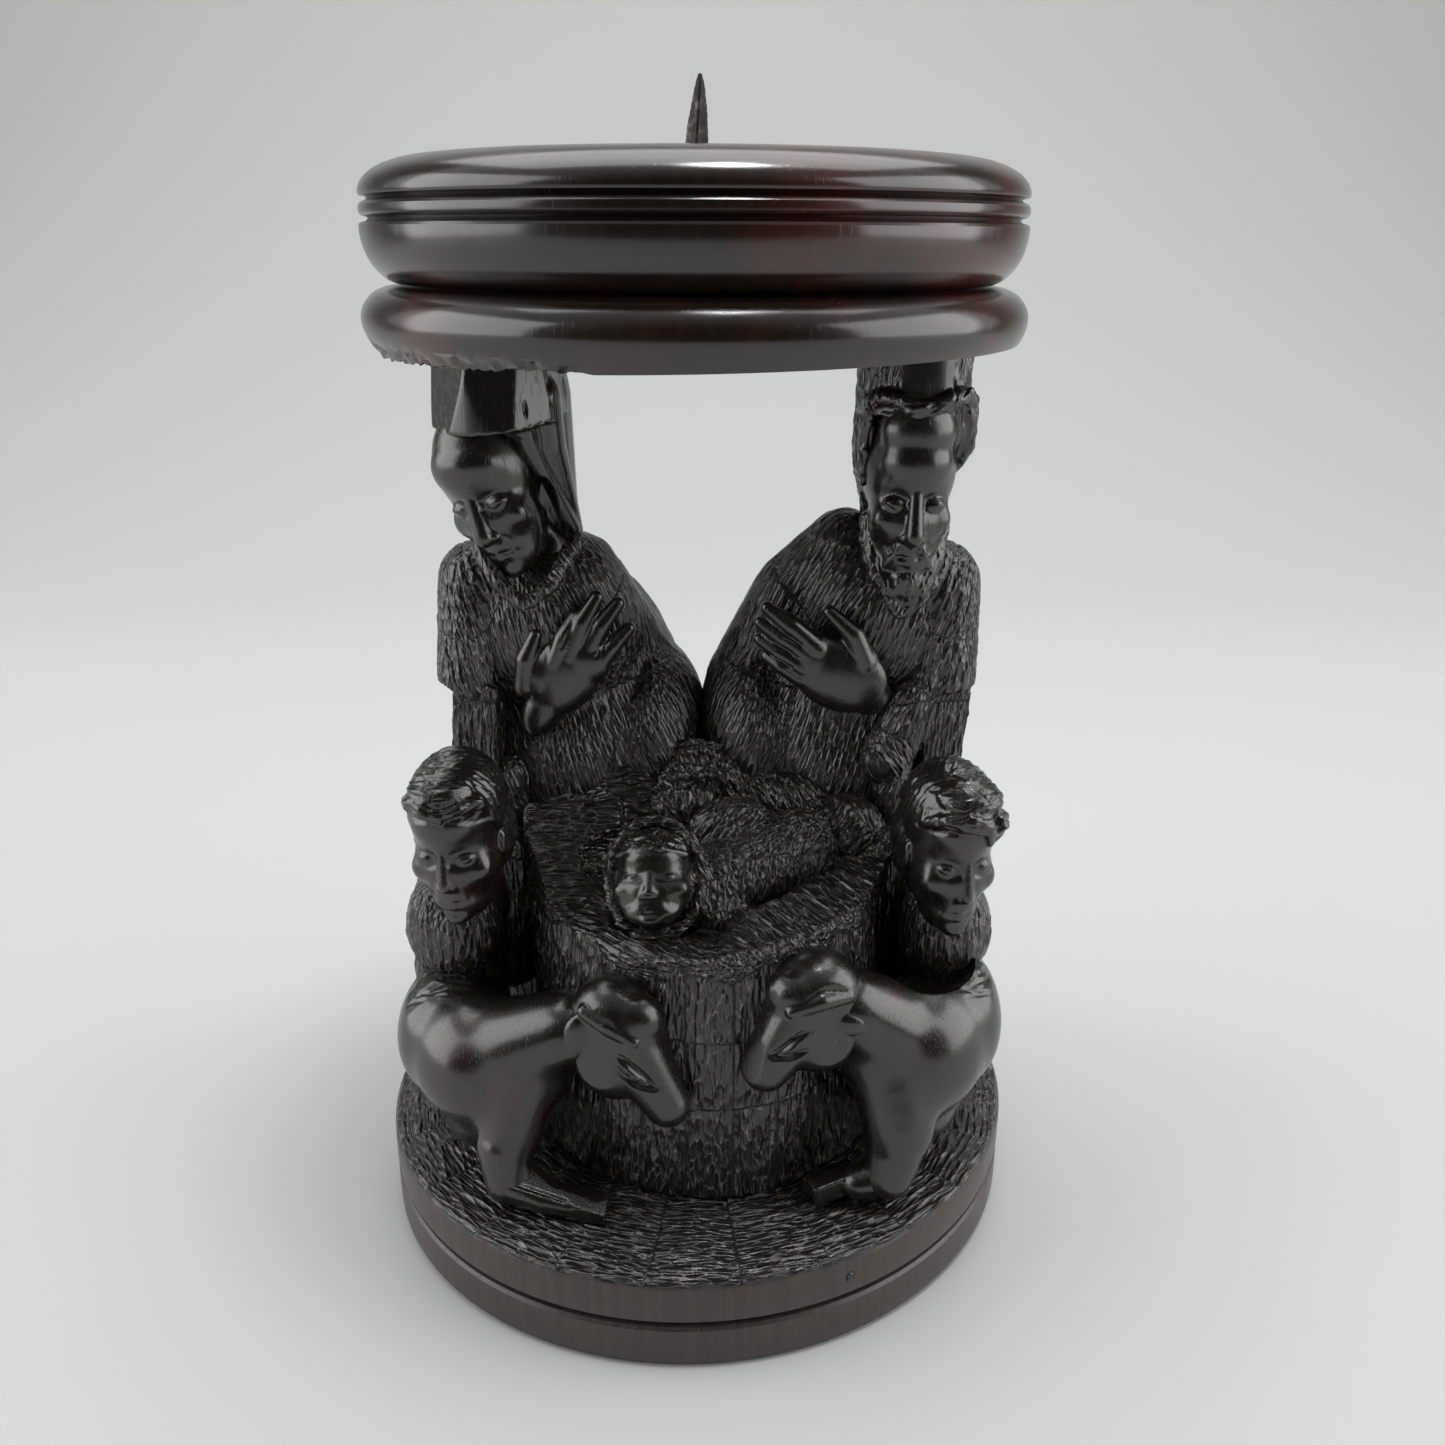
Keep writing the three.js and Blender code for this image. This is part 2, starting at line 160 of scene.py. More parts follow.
def scaled_noise(nodes, links, vector, stretch, scale, detail=3.0, roughness=0.55):
    """Noise on stretched coordinates; the vector's own unit is the metre."""
    mapping = nodes.new("ShaderNodeMapping")
    mapping.inputs["Scale"].default_value = stretch
    noise = nodes.new("ShaderNodeTexNoise")
    noise.inputs["Scale"].default_value = scale
    noise.inputs["Detail"].default_value = detail
    noise.inputs["Roughness"].default_value = roughness
    links.new(vector, mapping.inputs["Vector"])
    links.new(mapping.outputs["Vector"], noise.inputs["Vector"])
    return noise.outputs["Fac"]


def ramped(nodes, links, value, low, high, to_low=0.0, to_high=1.0):
    ramp = nodes.new("ShaderNodeMapRange")
    ramp.interpolation_type = "SMOOTHSTEP"
    ramp.inputs["From Min"].default_value = low
    ramp.inputs["From Max"].default_value = high
    ramp.inputs["To Min"].default_value = to_low
    ramp.inputs["To Max"].default_value = to_high
    links.new(value, ramp.inputs["Value"])
    return ramp.outputs["Result"]


def blended(nodes, links, amount, first, second, kind="RGBA", blend="MIX"):
    mix = nodes.new("ShaderNodeMix")
    mix.data_type = kind
    if kind == "RGBA":
        mix.blend_type = blend
    inputs = [i for i in mix.inputs if i.enabled]
    for given, place in ((amount, inputs[0]), (first, inputs[1]), (second, inputs[2])):
        if isinstance(given, bpy.types.NodeSocket):
            links.new(given, place)
        else:
            place.default_value = given
    return [o for o in mix.outputs if o.enabled][0]


def worked(nodes, links, operation, first, second=None):
    step = nodes.new("ShaderNodeMath")
    step.operation = operation
    for given, place in ((first, step.inputs[0]), (second, step.inputs[1])):
        if isinstance(given, bpy.types.NodeSocket):
            links.new(given, place)
        elif given is not None:
            place.default_value = given
    return step.outputs[0]


def wood_group():
    """Colour, gloss loss and height of blackwood; the log's grain runs up the holder."""
    group = bpy.data.node_groups.new("blackwood_figure", "ShaderNodeTree")
    socket(group, "Dark", "INPUT", "NodeSocketColor", (0.010, 0.0085, 0.008, 1))
    socket(group, "Heart", "INPUT", "NodeSocketColor", (0.035, 0.012, 0.009, 1))
    socket(group, "Heart Share", "INPUT", "NodeSocketFloat", 0.5)
    socket(group, "Color", "OUTPUT", "NodeSocketColor")
    socket(group, "Gloss Loss", "OUTPUT", "NodeSocketFloat")
    socket(group, "Height", "OUTPUT", "NodeSocketFloat")
    nodes, links = group.nodes, group.links
    given = nodes.new("NodeGroupInput")
    place = nodes.new("ShaderNodeTexCoord").outputs["Object"]
    heart = scaled_noise(nodes, links, place, (1, 1, 0.8), 48, 2.0, 0.5)
    heart_start = worked(nodes, links, "SUBTRACT", 0.78, worked(
        nodes, links, "MULTIPLY", given.outputs["Heart Share"], 0.36))
    share = worked(nodes, links, "SUBTRACT", heart, heart_start)
    share = ramped(nodes, links, share, 0.0, 0.22)
    streak = scaled_noise(nodes, links, place, (1, 1, 0.06), 900, 3.0, 0.6)
    streak = ramped(nodes, links, streak, 0.38, 0.66)
    body = blended(nodes, links, share, given.outputs["Dark"], given.outputs["Heart"])
    lines = blended(nodes, links, streak, (0.78, 0.78, 0.78, 1), (1.16, 1.14, 1.12, 1))
    tint = blended(nodes, links, 1.0, body, lines, blend="MULTIPLY")
    pore = scaled_noise(nodes, links, place, (1, 1, 0.035), 3200, 1.0, 0.5)
    pore = ramped(nodes, links, pore, 0.60, 0.72)
    bloom = scaled_noise(nodes, links, place, (1, 1, 1), 160, 4.0, 0.6)
    loss = worked(nodes, links, "ADD", worked(nodes, links, "MULTIPLY", pore, 0.06),
                  ramped(nodes, links, bloom, 0.35, 0.75, 0.0, 0.07))
    given_out = nodes.new("NodeGroupOutput")
    joined(group, (
        (tint, given_out.inputs["Color"]),
        (loss, given_out.inputs["Gloss Loss"]),
        (worked(nodes, links, "SUBTRACT", 1.0, pore), given_out.inputs["Height"]),
    ))
    return group


def stroke_group():
    """Chisel scallops, long cells that run along a piece's own chisel_way attribute, in mm, and the mask of
    a painted highlight along the ridges between the cells.
    """
    group = bpy.data.node_groups.new("chisel_strokes", "ShaderNodeTree")
    socket(group, "Fineness", "INPUT", "NodeSocketFloat", 1.0)
    socket(group, "Height", "OUTPUT", "NodeSocketFloat")
    socket(group, "Painted Ridge Highlight", "OUTPUT", "NodeSocketFloat")
    nodes, links = group.nodes, group.links
    given = nodes.new("NodeGroupInput")
    way = nodes.new("ShaderNodeAttribute")
    way.attribute_name = "chisel_way"
    depth = nodes.new("ShaderNodeAttribute")
    depth.attribute_name = "chiselled"
    stretch = nodes.new("ShaderNodeMapping")
    stretch.inputs["Scale"].default_value = (0.20, 1.0, 1.0)
    waver = nodes.new("ShaderNodeTexNoise")
    waver.inputs["Scale"].default_value = 0.35
    shift = nodes.new("ShaderNodeVectorMath")
    shift.operation = "MULTIPLY_ADD"
    shift.inputs[1].default_value = (0.5, 0.5, 0.5)
    joined(group, (
        (way.outputs["Vector"], stretch.inputs["Vector"]),
        (way.outputs["Vector"], waver.inputs["Vector"]),
        (waver.outputs["Color"], shift.inputs[0]),
        (stretch.outputs["Vector"], shift.inputs[2]),
    ))
    cells = []
    for feature in ("F1", "DISTANCE_TO_EDGE"):
        cell = nodes.new("ShaderNodeTexVoronoi")
        cell.feature = feature
        joined(group, ((shift.outputs["Vector"], cell.inputs["Vector"]),
                       (given.outputs["Fineness"], cell.inputs["Scale"])))
        cells.append(cell.outputs["Distance"])
    bowl = worked(nodes, links, "MULTIPLY", cells[0], cells[0])
    height = worked(nodes, links, "MULTIPLY", bowl, depth.outputs["Fac"])
    # Painted highlight: a pale band along the cell ridges, broken up by noise, stands in for the glints on
    # the gouge ridges.
    edge = ramped(nodes, links, cells[1], 0.09, 0.0)
    ridge_highlight_breakup = scaled_noise(nodes, links, way.outputs["Vector"], (0.5, 1, 1), 0.9, 3.0, 0.7)
    edge = worked(nodes, links, "MULTIPLY", edge, ramped(nodes, links, ridge_highlight_breakup, 0.42, 0.62))
    edge = worked(nodes, links, "MULTIPLY", edge, depth.outputs["Fac"])
    given_out = nodes.new("NodeGroupOutput")
    joined(group, ((height, given_out.inputs["Height"]), (edge, given_out.inputs["Painted Ridge Highlight"])))
    return group


WOOD = wood_group()
STROKES = stroke_group()


def blackwood(name, dark, heart, share, roughness, pores, strokes=0.0, fineness=1.0, gloss=0.5,
              ridge_highlight_paint=(0.15, 0.135, 0.125, 1)):
    """A blackwood surface; strokes is the depth of the fine chisel marks in metres. Where there are strokes,
    a pale painted highlight colour is laid along the ridges between them.
    """
    material = bpy.data.materials.new(name)
    material.use_nodes = True
    nodes, links = material.node_tree.nodes, material.node_tree.links
    shader = nodes["Principled BSDF"]
    wood = nodes.new("ShaderNodeGroup")
    wood.node_tree = WOOD
    wood.inputs["Dark"].default_value = (*dark, 1)
    wood.inputs["Heart"].default_value = (*heart, 1)
    wood.inputs["Heart Share"].default_value = share
    colour = wood.outputs["Color"]
    dull = worked(nodes, links, "ADD", wood.outputs["Gloss Loss"], roughness)
    bump = nodes.new("ShaderNodeBump")
    bump.inputs["Strength"].default_value = 1.0
    bump.inputs["Distance"].default_value = pores
    links.new(wood.outputs["Height"], bump.inputs["Height"])
    normal = bump.outputs["Normal"]
    if strokes:
        cuts = nodes.new("ShaderNodeGroup")
        cuts.node_tree = STROKES
        cuts.inputs["Fineness"].default_value = fineness
        carve = nodes.new("ShaderNodeBump")
        carve.inputs["Strength"].default_value = 1.0
        carve.inputs["Distance"].default_value = strokes
        joined(material.node_tree, (
            (cuts.outputs["Height"], carve.inputs["Height"]),
            (normal, carve.inputs["Normal"]),
        ))
        normal = carve.outputs["Normal"]
        # Paints the pale ridge highlight colour into the base colour along the stroke ridges.
        colour = blended(nodes, links, cuts.outputs["Painted Ridge Highlight"], colour, ridge_highlight_paint)
        dull = worked(nodes, links, "ADD", dull, worked(
            nodes, links, "MULTIPLY", cuts.outputs["Painted Ridge Highlight"], 0.10))
    shader.inputs["Specular IOR Level"].default_value = gloss
    joined(material.node_tree, (
        (colour, shader.inputs["Base Color"]),
        (dull, shader.inputs["Roughness"]),
        (normal, shader.inputs["Normal"]),
    ))
    return material


DARK = (0.0080, 0.0068, 0.0064)
HEART = (0.030, 0.0085, 0.0065)
POLISHED = blackwood("waxed_blackwood", DARK, HEART, 0.55, 0.22, 0.000012, gloss=0.95)
# The pale colour given last below is a painted highlight for the glints on the stroke ridges.
CHISELLED = blackwood("chiselled_blackwood", DARK, (0.022, 0.012, 0.010), 0.3, 0.27, 0.00002,
                      strokes=0.0004, fineness=1.4, gloss=0.85, ridge_highlight_paint=(0.20, 0.18, 0.165, 1))
TURNED = blackwood("turned_blackwood", (0.014, 0.0092, 0.0062), (0.050, 0.0095, 0.0066), 0.85, 0.16,
                   0.000005, gloss=0.85)
EDGE_BAND = blackwood("base_edge_blackwood", (0.044, 0.031, 0.028), (0.056, 0.033, 0.030), 0.5,
                      0.34, 0.00003, gloss=0.7)


def skin(piece):
    """The places and normals of a piece's points, as two arrays."""
    mesh = piece.data
    places = np.empty(len(mesh.vertices) * 3)
    normals = np.empty(len(mesh.vertices) * 3)
    mesh.vertices.foreach_get("co", places)
    mesh.vertex_normals.foreach_get("vector", normals)
    return places.reshape(-1, 3), normals.reshape(-1, 3)


def put(piece, places):
    piece.data.vertices.foreach_set("co", np.ascontiguousarray(places).ravel())
    piece.data.update()


def eased(value):
    value = np.clip(value, 0, 1)
    return value * value * (3 - 2 * value)


def mark(piece, way, share):
    """Leaves the stroke directions and their strength on the skin."""
    mesh = piece.data
    for name in ("chisel_way", "chiselled"):
        if name in mesh.attributes:
            mesh.attributes.remove(mesh.attributes[name])
    mesh.attributes.new("chisel_way", "FLOAT_VECTOR", "POINT").data.foreach_set(
        "vector", np.ascontiguousarray(way, dtype=np.float32).ravel())
    mesh.attributes.new("chiselled", "FLOAT", "POINT").data.foreach_set(
        "value", np.ascontiguousarray(share, dtype=np.float32))


def chisel(piece, ways, seed, length=4.2, pitch=1.2, depth=0.3, where=None, jitter=9, wander=0.3,
           fullness=1.0):
    """Rows of short gouge strokes, one beside the other. Each way is a place and the direction of
    the strokes nearest to it. The same directions stay on the skin for the material's marks."""
    places, normals = skin(piece)
    rng = np.random.default_rng(seed)
    spots = np.array([w[0] for w in ways], float)
    heads = np.array([w[1] for w in ways], float)
    heads /= np.linalg.norm(heads, axis=1)[:, None]
    apart = np.sqrt(((places[:, None, :] - spots[None]) ** 2).sum(axis=2))
    nearest = np.argmin(apart, axis=1)
    flow = heads[nearest]
    share = np.ones(len(places)) if where is None else where(places, normals)
    clear = share
    if len(spots) > 1:
        close = np.partition(apart, 1, axis=1)
        clear = share * np.clip((close[:, 1] - close[:, 0]) / 0.35, 0, 1)
    side = np.cross(heads, np.where(np.abs(heads[:, 2:3]) > 0.8, [[1.0, 0, 0]], [[0, 0, 1.0]]))
    side /= np.linalg.norm(side, axis=1)[:, None]
    third = np.cross(heads, side)
    way = np.stack([
        (places * flow).sum(axis=1) + 7.3 * nearest,
        (places * side[nearest]).sum(axis=1),
        (places * third[nearest]).sum(axis=1),
    ], axis=1)
    grid = way / (length * 0.92, pitch, pitch * 1.6)
    grid[:, 1] += 0.5 * (np.rint(grid[:, 0]) % 2)
    row = np.rint(grid)
    able = np.where(share > 0.5)[0]
    able = able[np.argsort(np.abs(grid - row)[able].sum(axis=1), kind="stable")]
    _, first = np.unique(np.column_stack([nearest[able], row[able]]), axis=0, return_index=True)
    picks = able[first]
    picks = picks[rng.random(len(picks)) < fullness]
    tree = kdtree.KDTree(len(places))
    for index, place in enumerate(places):
        tree.insert(place, index)
    tree.balance()
    sunk = np.zeros(len(places))
    for pick in picks:
        normal = normals[pick]
        along = flow[pick] - normal * (flow[pick] @ normal)
        norm = np.linalg.norm(along)
        turn = math.radians(rng.normal(0, jitter))
        size = rng.uniform(0.75, 1.25, 3)
        slip = rng.normal(0, wander, 2)
        if norm < 0.25:
            continue
        along /= norm
        across = np.cross(normal, along)
        place = places[pick] + along * slip[0] * length * 0.4 + across * slip[1] * pitch * 0.5
        along = along * math.cos(turn) + across * math.sin(turn)
        across = np.cross(normal, along)
        half, wide, deep = length / 2 * size[0], pitch * 0.56 * size[1], depth * size[2]
        hits = np.array([hit[1] for hit in tree.find_range(place, half + wide)], int)
        if not len(hits):
            continue
        off = places[hits] - place
        run = 1 - (off @ along / half) ** 2
        rim = 1 - np.abs(off @ across / wide) ** 1.6
        cut = deep * np.sqrt(np.clip(run, 0, None)) * np.clip(rim, 0, None)
        cut[np.abs(off @ normal) > 1.2] = 0
        sunk[hits] = np.maximum(sunk[hits], cut)
    put(piece, places - normals * (sunk * share)[:, None])
    mark(piece, way, clear)


def finished(piece, material, slot, *nodes):
    """Brings a carved piece to real size, gives it its finish and stands it for its blocks."""
    if "chisel_way" not in piece.data.attributes:
        places, _ = skin(piece)
        mark(piece, places, np.zeros(len(places)))
    bpy.ops.object.select_all(action="DESELECT")
    piece.select_set(True)
    bpy.context.view_layer.objects.active = piece
    piece.scale = (MM, MM, MM)
    bpy.ops.object.transform_apply(location=True, rotation=True, scale=True)
    piece.data.materials.clear()
    piece.data.materials.append(material)
    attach(piece, "root")
    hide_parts(*nodes)


def turned(name, profile, sides, axis=(0, 0)):
    """A closed turned body from its (radius, height) points, begun as a disc at the bottom."""
    bpy.ops.object.select_all(action="DESELECT")
    radius, height = profile[0]
    bpy.ops.mesh.primitive_circle_add(
        vertices=sides, radius=radius, fill_type="NGON", location=(*axis, height))
    piece = bpy.context.object
    piece.name = name
    bpy.ops.object.transform_apply(location=True, rotation=False, scale=False)
    bpy.ops.object.mode_set(mode="EDIT")
    bpy.ops.mesh.select_all(action="SELECT")
    for (before, low), (after, high) in zip(profile, profile[1:]):
        bpy.ops.mesh.extrude_region_move(TRANSFORM_OT_translate={"value": (0, 0, high - low)})
        grown = after / before
        bpy.ops.transform.resize(value=(grown, grown, 1), center_override=(*axis, high))
    bpy.ops.mesh.select_all(action="SELECT")
    bpy.ops.mesh.normals_make_consistent(inside=False)
    bpy.ops.object.mode_set(mode="OBJECT")
    bpy.ops.object.shade_smooth_by_angle(angle=math.radians(28))
    return piece


def dried_oval(piece):
    places, _ = skin(piece)
    long_way = math.radians(50)
    way = np.array((math.cos(long_way), math.sin(long_way), 0))
    cross = np.array((-way[1], way[0], 0))
    places += 0.018 * np.outer(places @ way, way) - 0.018 * np.outer(places @ cross, cross)
    put(piece, places)


plinth = turned("turned_plinth", [
    (54.8, 0), (55.8, 0.1), (56.5, 0.5), (56.8, 1.2), (56.85, 3), (56.85, 5.5), (56.8, 7.1),
    (56.4, 7.65), (55.6, 7.9), (20, 7.9),
], 256)
dried_oval(plinth)
finished(plinth, EDGE_BAND, "edge_band", "base_plinth")

turf_rings = [(56.0 - 0.45 * step, GROUND_TOP) for step in range(60)]
ground = turned("carved_ground", [
    (55.4, 8.2), (56.2, 8.35), (56.7, 8.9), (56.85, 9.6), (56.85, 12), (56.85, 14.4), (56.7, 15.4),
    (56.45, 16.1), *turf_rings,
], 720)
dried_oval(ground)
around = [math.radians(15 * step) for step in range(24)]
places, normals = skin(ground)
swell = 0.22 * np.sin(places[:, 0] * 0.31 + 1.3) * np.cos(places[:, 1] * 0.27)
top = (normals[:, 2] > 0.7) & (places[:, 2] > 15)
places[top, 2] += swell[top] - 0.15
put(ground, places)
chisel(ground, [
    ((48 * math.cos(a), 48 * math.sin(a), GROUND_TOP), (-math.sin(a), math.cos(a), 0))
    for a in around
], 11, length=7.5, pitch=1.55, depth=0.36, jitter=14, wander=0.5,
    where=lambda p, n: ((n[:, 2] > 0.5) & (p[:, 2] > 15)).astype(float))
finished(ground, EDGE_BAND, "edge_band", "base_ground")
ground.data.materials.append(CHISELLED)
for face in ground.data.polygons:
    if face.normal.z > 0.35 and face.center.z > 0.0155:
        face.material_index = 1

plug = turned("edge_plug", [(0.86, 0), (0.9, 0.2), (0.9, 7.3), (0.82, 7.5), (0.5, 7.56)], 24)
places, _ = skin(plug)
radial = np.array((math.cos(PLUG_WAY), math.sin(PLUG_WAY), 0))
beside = np.array((-radial[1], radial[0], 0))
put(plug, np.outer(places[:, 2] + 48.9, radial) + np.outer(places[:, 0], beside)
    + np.outer(places[:, 1], (0, 0, 1)) + np.array((0, 0, PLUG_HEIGHT)))
finished(plug, CHISELLED, "dowel_wood", "side_plug")


# ==== Candle tray ============================================================================
# Turned from one blank: a coved band, a bead between two grooves, a rounded rim and a shallow
# dish for the candle. Sanded fine and waxed to a deep gloss, with faint lathe lines.
TURNED_AXIS = (-0.4, -0.9)
DISH_FLOOR = 175

tray = turned("turned_tray", [
    (44.7, 159.2), (45.4, 159.3), (46.3, 159.7), (47.1, 160.3), (47.8, 161.0), (48.5, 161.9),
    (49.0, 162.8), (49.4, 163.8), (49.7, 165.0), (49.9, 166.3), (49.9, 167.2), (49.7, 167.55),
    (48.9, 167.75), (48.5, 168.05), (48.8, 168.35), (49.4, 168.5), (49.75, 168.85), (49.85, 169.4),
    (49.75, 169.95), (49.4, 170.35), (48.8, 170.55), (48.5, 170.85), (48.9, 171.1), (49.6, 171.2),
    (49.75, 171.6), (49.7, 172.1), (49.4, 172.9), (49.0, 173.5), (48.3, 174.2), (47.4, 174.8),
    (46.2, 175.4), (44.6, 175.95), (42.9, 176.3), (41.0, 176.5), (39.8, 176.4), (38.8, 176.05),
    (38.0, 175.5), (37.2, 175.1), (36.2, DISH_FLOOR), (20, DISH_FLOOR), (2.7, DISH_FLOOR),
], 256, TURNED_AXIS)
finished(tray, TURNED, "turned_blackwood", "candle_tray")

dowel_wood = blackwood("pale_dowel_wood", (0.30, 0.17, 0.08), (0.24, 0.12, 0.05), 0.3, 0.6, 0.00004)
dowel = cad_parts["tray_dowel"]
dowel.data.materials.clear()
dowel.data.materials.append(dowel_wood)


# ==== Spike ==================================================================================
# A hand-forged nail, its shank driven into the tray and its point hammered flat-sided and a
# little to the right. Black scale, worn bare along the edges.
def applied(piece, kind, **settings):
    modifier = piece.modifiers.new(kind.lower(), kind)
    for setting, value in settings.items():
        setattr(modifier, setting, value)
    bpy.context.view_layer.objects.active = piece
    bpy.ops.object.modifier_apply(modifier=modifier.name)


spike_sections = [
    # height, half width to the left, half width to the right, half depth
    (DISH_FLOOR - 2, 2.2, 2.1, 2.0), (DISH_FLOOR + 3.4, 2.05, 1.95, 1.8),
    (DISH_FLOOR + 6, 1.7, 1.9, 1.55), (DISH_FLOOR + 9, 1.05, 1.7, 1.2),
    (DISH_FLOOR + 11.4, 0.45, 1.35, 0.85), (DISH_FLOOR + 12.8, 0.1, 1.0, 0.55),
    (DISH_FLOOR + 13.4, -0.2, 0.8, 0.3),
]
bpy.ops.object.select_all(action="DESELECT")
bpy.ops.mesh.primitive_circle_add(vertices=6, radius=1, fill_type="NGON", location=(0, 0, 0))
spike = bpy.context.object
spike.name = "forged_spike"
bpy.ops.object.mode_set(mode="EDIT")
bpy.ops.mesh.select_all(action="SELECT")
for step in range(len(spike_sections) - 1):
    bpy.ops.mesh.extrude_region_move(TRANSFORM_OT_translate={"value": (0, 0, 1)})
bpy.ops.mesh.select_all(action="SELECT")
bpy.ops.mesh.normals_make_consistent(inside=False)
bpy.ops.object.mode_set(mode="OBJECT")
places, _ = skin(spike)
rows = np.rint(places[:, 2]).astype(int)
height, left, right, deep = np.array(spike_sections, float)[rows].T
middle, half = (right - left) / 2, (right + left) / 2
put(spike, np.stack([
    TURNED_AXIS[0] + 0.2 + middle + places[:, 0] * half,
    TURNED_AXIS[1] + places[:, 1] * deep * 1.15,
    height,
], axis=1))
applied(spike, "BEVEL", width=0.16, segments=2, limit_method="ANGLE")
applied(spike, "SUBSURF", subdivision_type="SIMPLE", levels=3, render_levels=3)
places, normals = skin(spike)
hammered = 0.05 * np.sin(places[:, 2] * 2.1 + places[:, 0]) * np.cos(places[:, 2] * 3.7 + 2)
put(spike, places + normals * hammered[:, None])

iron = bpy.data.materials.new("forged_iron")
iron.use_nodes = True
nodes, links = iron.node_tree.nodes, iron.node_tree.links
place = nodes.new("ShaderNodeTexCoord").outputs["Object"]
scale_marks = scaled_noise(nodes, links, place, (1, 1, 0.6), 700, 4.0, 0.65)
bare = ramped(nodes, links, scale_marks, 0.50, 0.70)
iron_bump = nodes.new("ShaderNodeBump")
iron_bump.inputs["Distance"].default_value = 0.00012
joined(iron.node_tree, (
    (scale_marks, iron_bump.inputs["Height"]),
    (iron_bump.outputs["Normal"], nodes["Principled BSDF"].inputs["Normal"]),
    (blended(nodes, links, bare, (0.028, 0.024, 0.022, 1), (0.10, 0.09, 0.08, 1)),
     nodes["Principled BSDF"].inputs["Base Color"]),
    (ramped(nodes, links, scale_marks, 0.3, 0.7, 0.55, 0.33),
     nodes["Principled BSDF"].inputs["Roughness"]),
))
nodes["Principled BSDF"].inputs["Metallic"].default_value = 0.7
finished(spike, iron, "spike_iron", "candle_spike")
bpy.ops.object.shade_smooth_by_angle(angle=math.radians(35))


# ==== Capital ================================================================================
# The half-round disc that the two heads carry. It was sawn from the log after turning, so its
# underside runs slightly out of level, and the saw and a chisel left it rough at the left.
CAPITAL_SLOPE = 0.022
CAPITAL_UNDER = 149.9

capital = turned("turned_capital", [
    (44.4, 146.2), (45.5, 146.8), (46.4, 147.4), (47.2, 148.0), (47.8, 148.6), (48.3, 149.2),
    (48.8, 149.9), (49.3, 150.6), (49.8, 151.4), (50.2, 152.3), (50.5, 153.2), (50.65, 154.2),
    (50.6, 155.1), (50.3, 156.0), (49.8, 156.8), (49.1, 157.6), (48.2, 158.2), (47.1, 158.65),
    (45.9, 158.85), (44.7, 158.9), (20, 158.9),
], 384, TURNED_AXIS)
bpy.ops.object.mode_set(mode="EDIT")
bpy.ops.mesh.select_all(action="SELECT")
bpy.ops.mesh.bisect(
    plane_co=(0, 0, CAPITAL_UNDER), plane_no=(-CAPITAL_SLOPE, 0, 1), use_fill=True,
    clear_inner=True)
bpy.ops.object.mode_set(mode="OBJECT")


def rough_part(places, normals):
    left = eased((-6 - places[:, 0]) / 14) * eased((6 - places[:, 1]) / 8)
    return left * eased((151.2 - places[:, 2]) / 0.8)


chisel(capital, [((-40, -25, 149), (0.5, -0.4, -0.9)), ((-20, -42, 149), (0.4, -0.6, -0.8))], 5,
       length=2.2, pitch=1.0, depth=0.55, where=rough_part, jitter=25)
finished(capital, TURNED, "turned_blackwood", "capital_disc")
bpy.ops.object.shade_smooth_by_angle(angle=math.radians(28))


# ==== Woman: robe, sleeve and hand ===========================================================
# She kneels at the left of the crib in a long robe, carved in the round from the log. Robe and
# sleeve are left as the small gouge cut them; the hand on her breast is sanded and waxed. Each
# figure is roughed out from lumps fused into one closed body, smoothed, and then cut.
def lobe(place, radii, turn=(0, 0, 0)):
    """An egg-shaped lump turned about its own centre, in degrees."""
    def add():
        bpy.ops.mesh.primitive_uv_sphere_add(
            segments=32, ring_count=16, radius=1, location=place, scale=radii,
            rotation=[math.radians(angle) for angle in turn],
        )
    return add


def limb(start, end, start_radius, end_radius):
    """A tapering round limb with round ends."""
    start, end = Vector(start), Vector(end)

    def add():
        way = end - start
        bpy.ops.mesh.primitive_cone_add(
            vertices=24, radius1=start_radius, radius2=end_radius, depth=way.length,
            location=(start + end) / 2, rotation=way.to_track_quat("Z", "Y").to_euler(),
        )
        for place, radius in ((start, start_radius), (end, end_radius)):
            bpy.ops.mesh.primitive_uv_sphere_add(
                segments=24, ring_count=12, radius=radius, location=place)
    return add


def chain(points, radii):
    """Limbs from joint to joint."""
    links = [limb(a, b, r, s) for a, b, r, s in zip(points, points[1:], radii, radii[1:])]

    def add():
        for link in links:
            link()
    return add


def slab(place, size, turn=(0, 0, 0)):
    """A square-edged block turned about its own centre, in degrees."""
    def add():
        bpy.ops.mesh.primitive_cube_add(
            size=1, location=place, scale=size,
            rotation=[math.radians(angle) for angle in turn],
        )
    return add


def fused(name, lumps, cell, passes, onto=None):
    """Lumps made one closed body, its skin a net of the given cell, smoothed a few times."""
    bpy.ops.object.select_all(action="DESELECT")
    if onto is None:
        bpy.ops.mesh.primitive_cube_add(size=1, location=(0, 0, 0))
        piece = bpy.context.object
        piece.name = name
        bpy.ops.object.mode_set(mode="EDIT")
        bpy.ops.mesh.delete(type="VERT")
    else:
        piece = onto
        piece.select_set(True)
        bpy.context.view_layer.objects.active = piece
        bpy.ops.object.mode_set(mode="EDIT")
    for lump in lumps:
        lump()
    bpy.ops.object.mode_set(mode="OBJECT")
    applied(piece, "REMESH", mode="VOXEL", voxel_size=cell, use_smooth_shade=True)
    if passes:
        applied(piece, "SMOOTH", factor=0.5, iterations=passes)
    return piece


def shave(piece, *cuts):
    """Flat cuts: a point on the plane, the way it faces, and how far round the point it goes."""
    places, _ = skin(piece)
    for point, way, reach in cuts:
        way = np.array(way, float) / np.linalg.norm(way)
        over = np.clip((places - point) @ way, 0, None)
        if reach:
            over *= eased((reach - np.linalg.norm(places - point, axis=1)) / (0.25 * reach))
        places -= np.outer(over, way)
    put(piece, places)


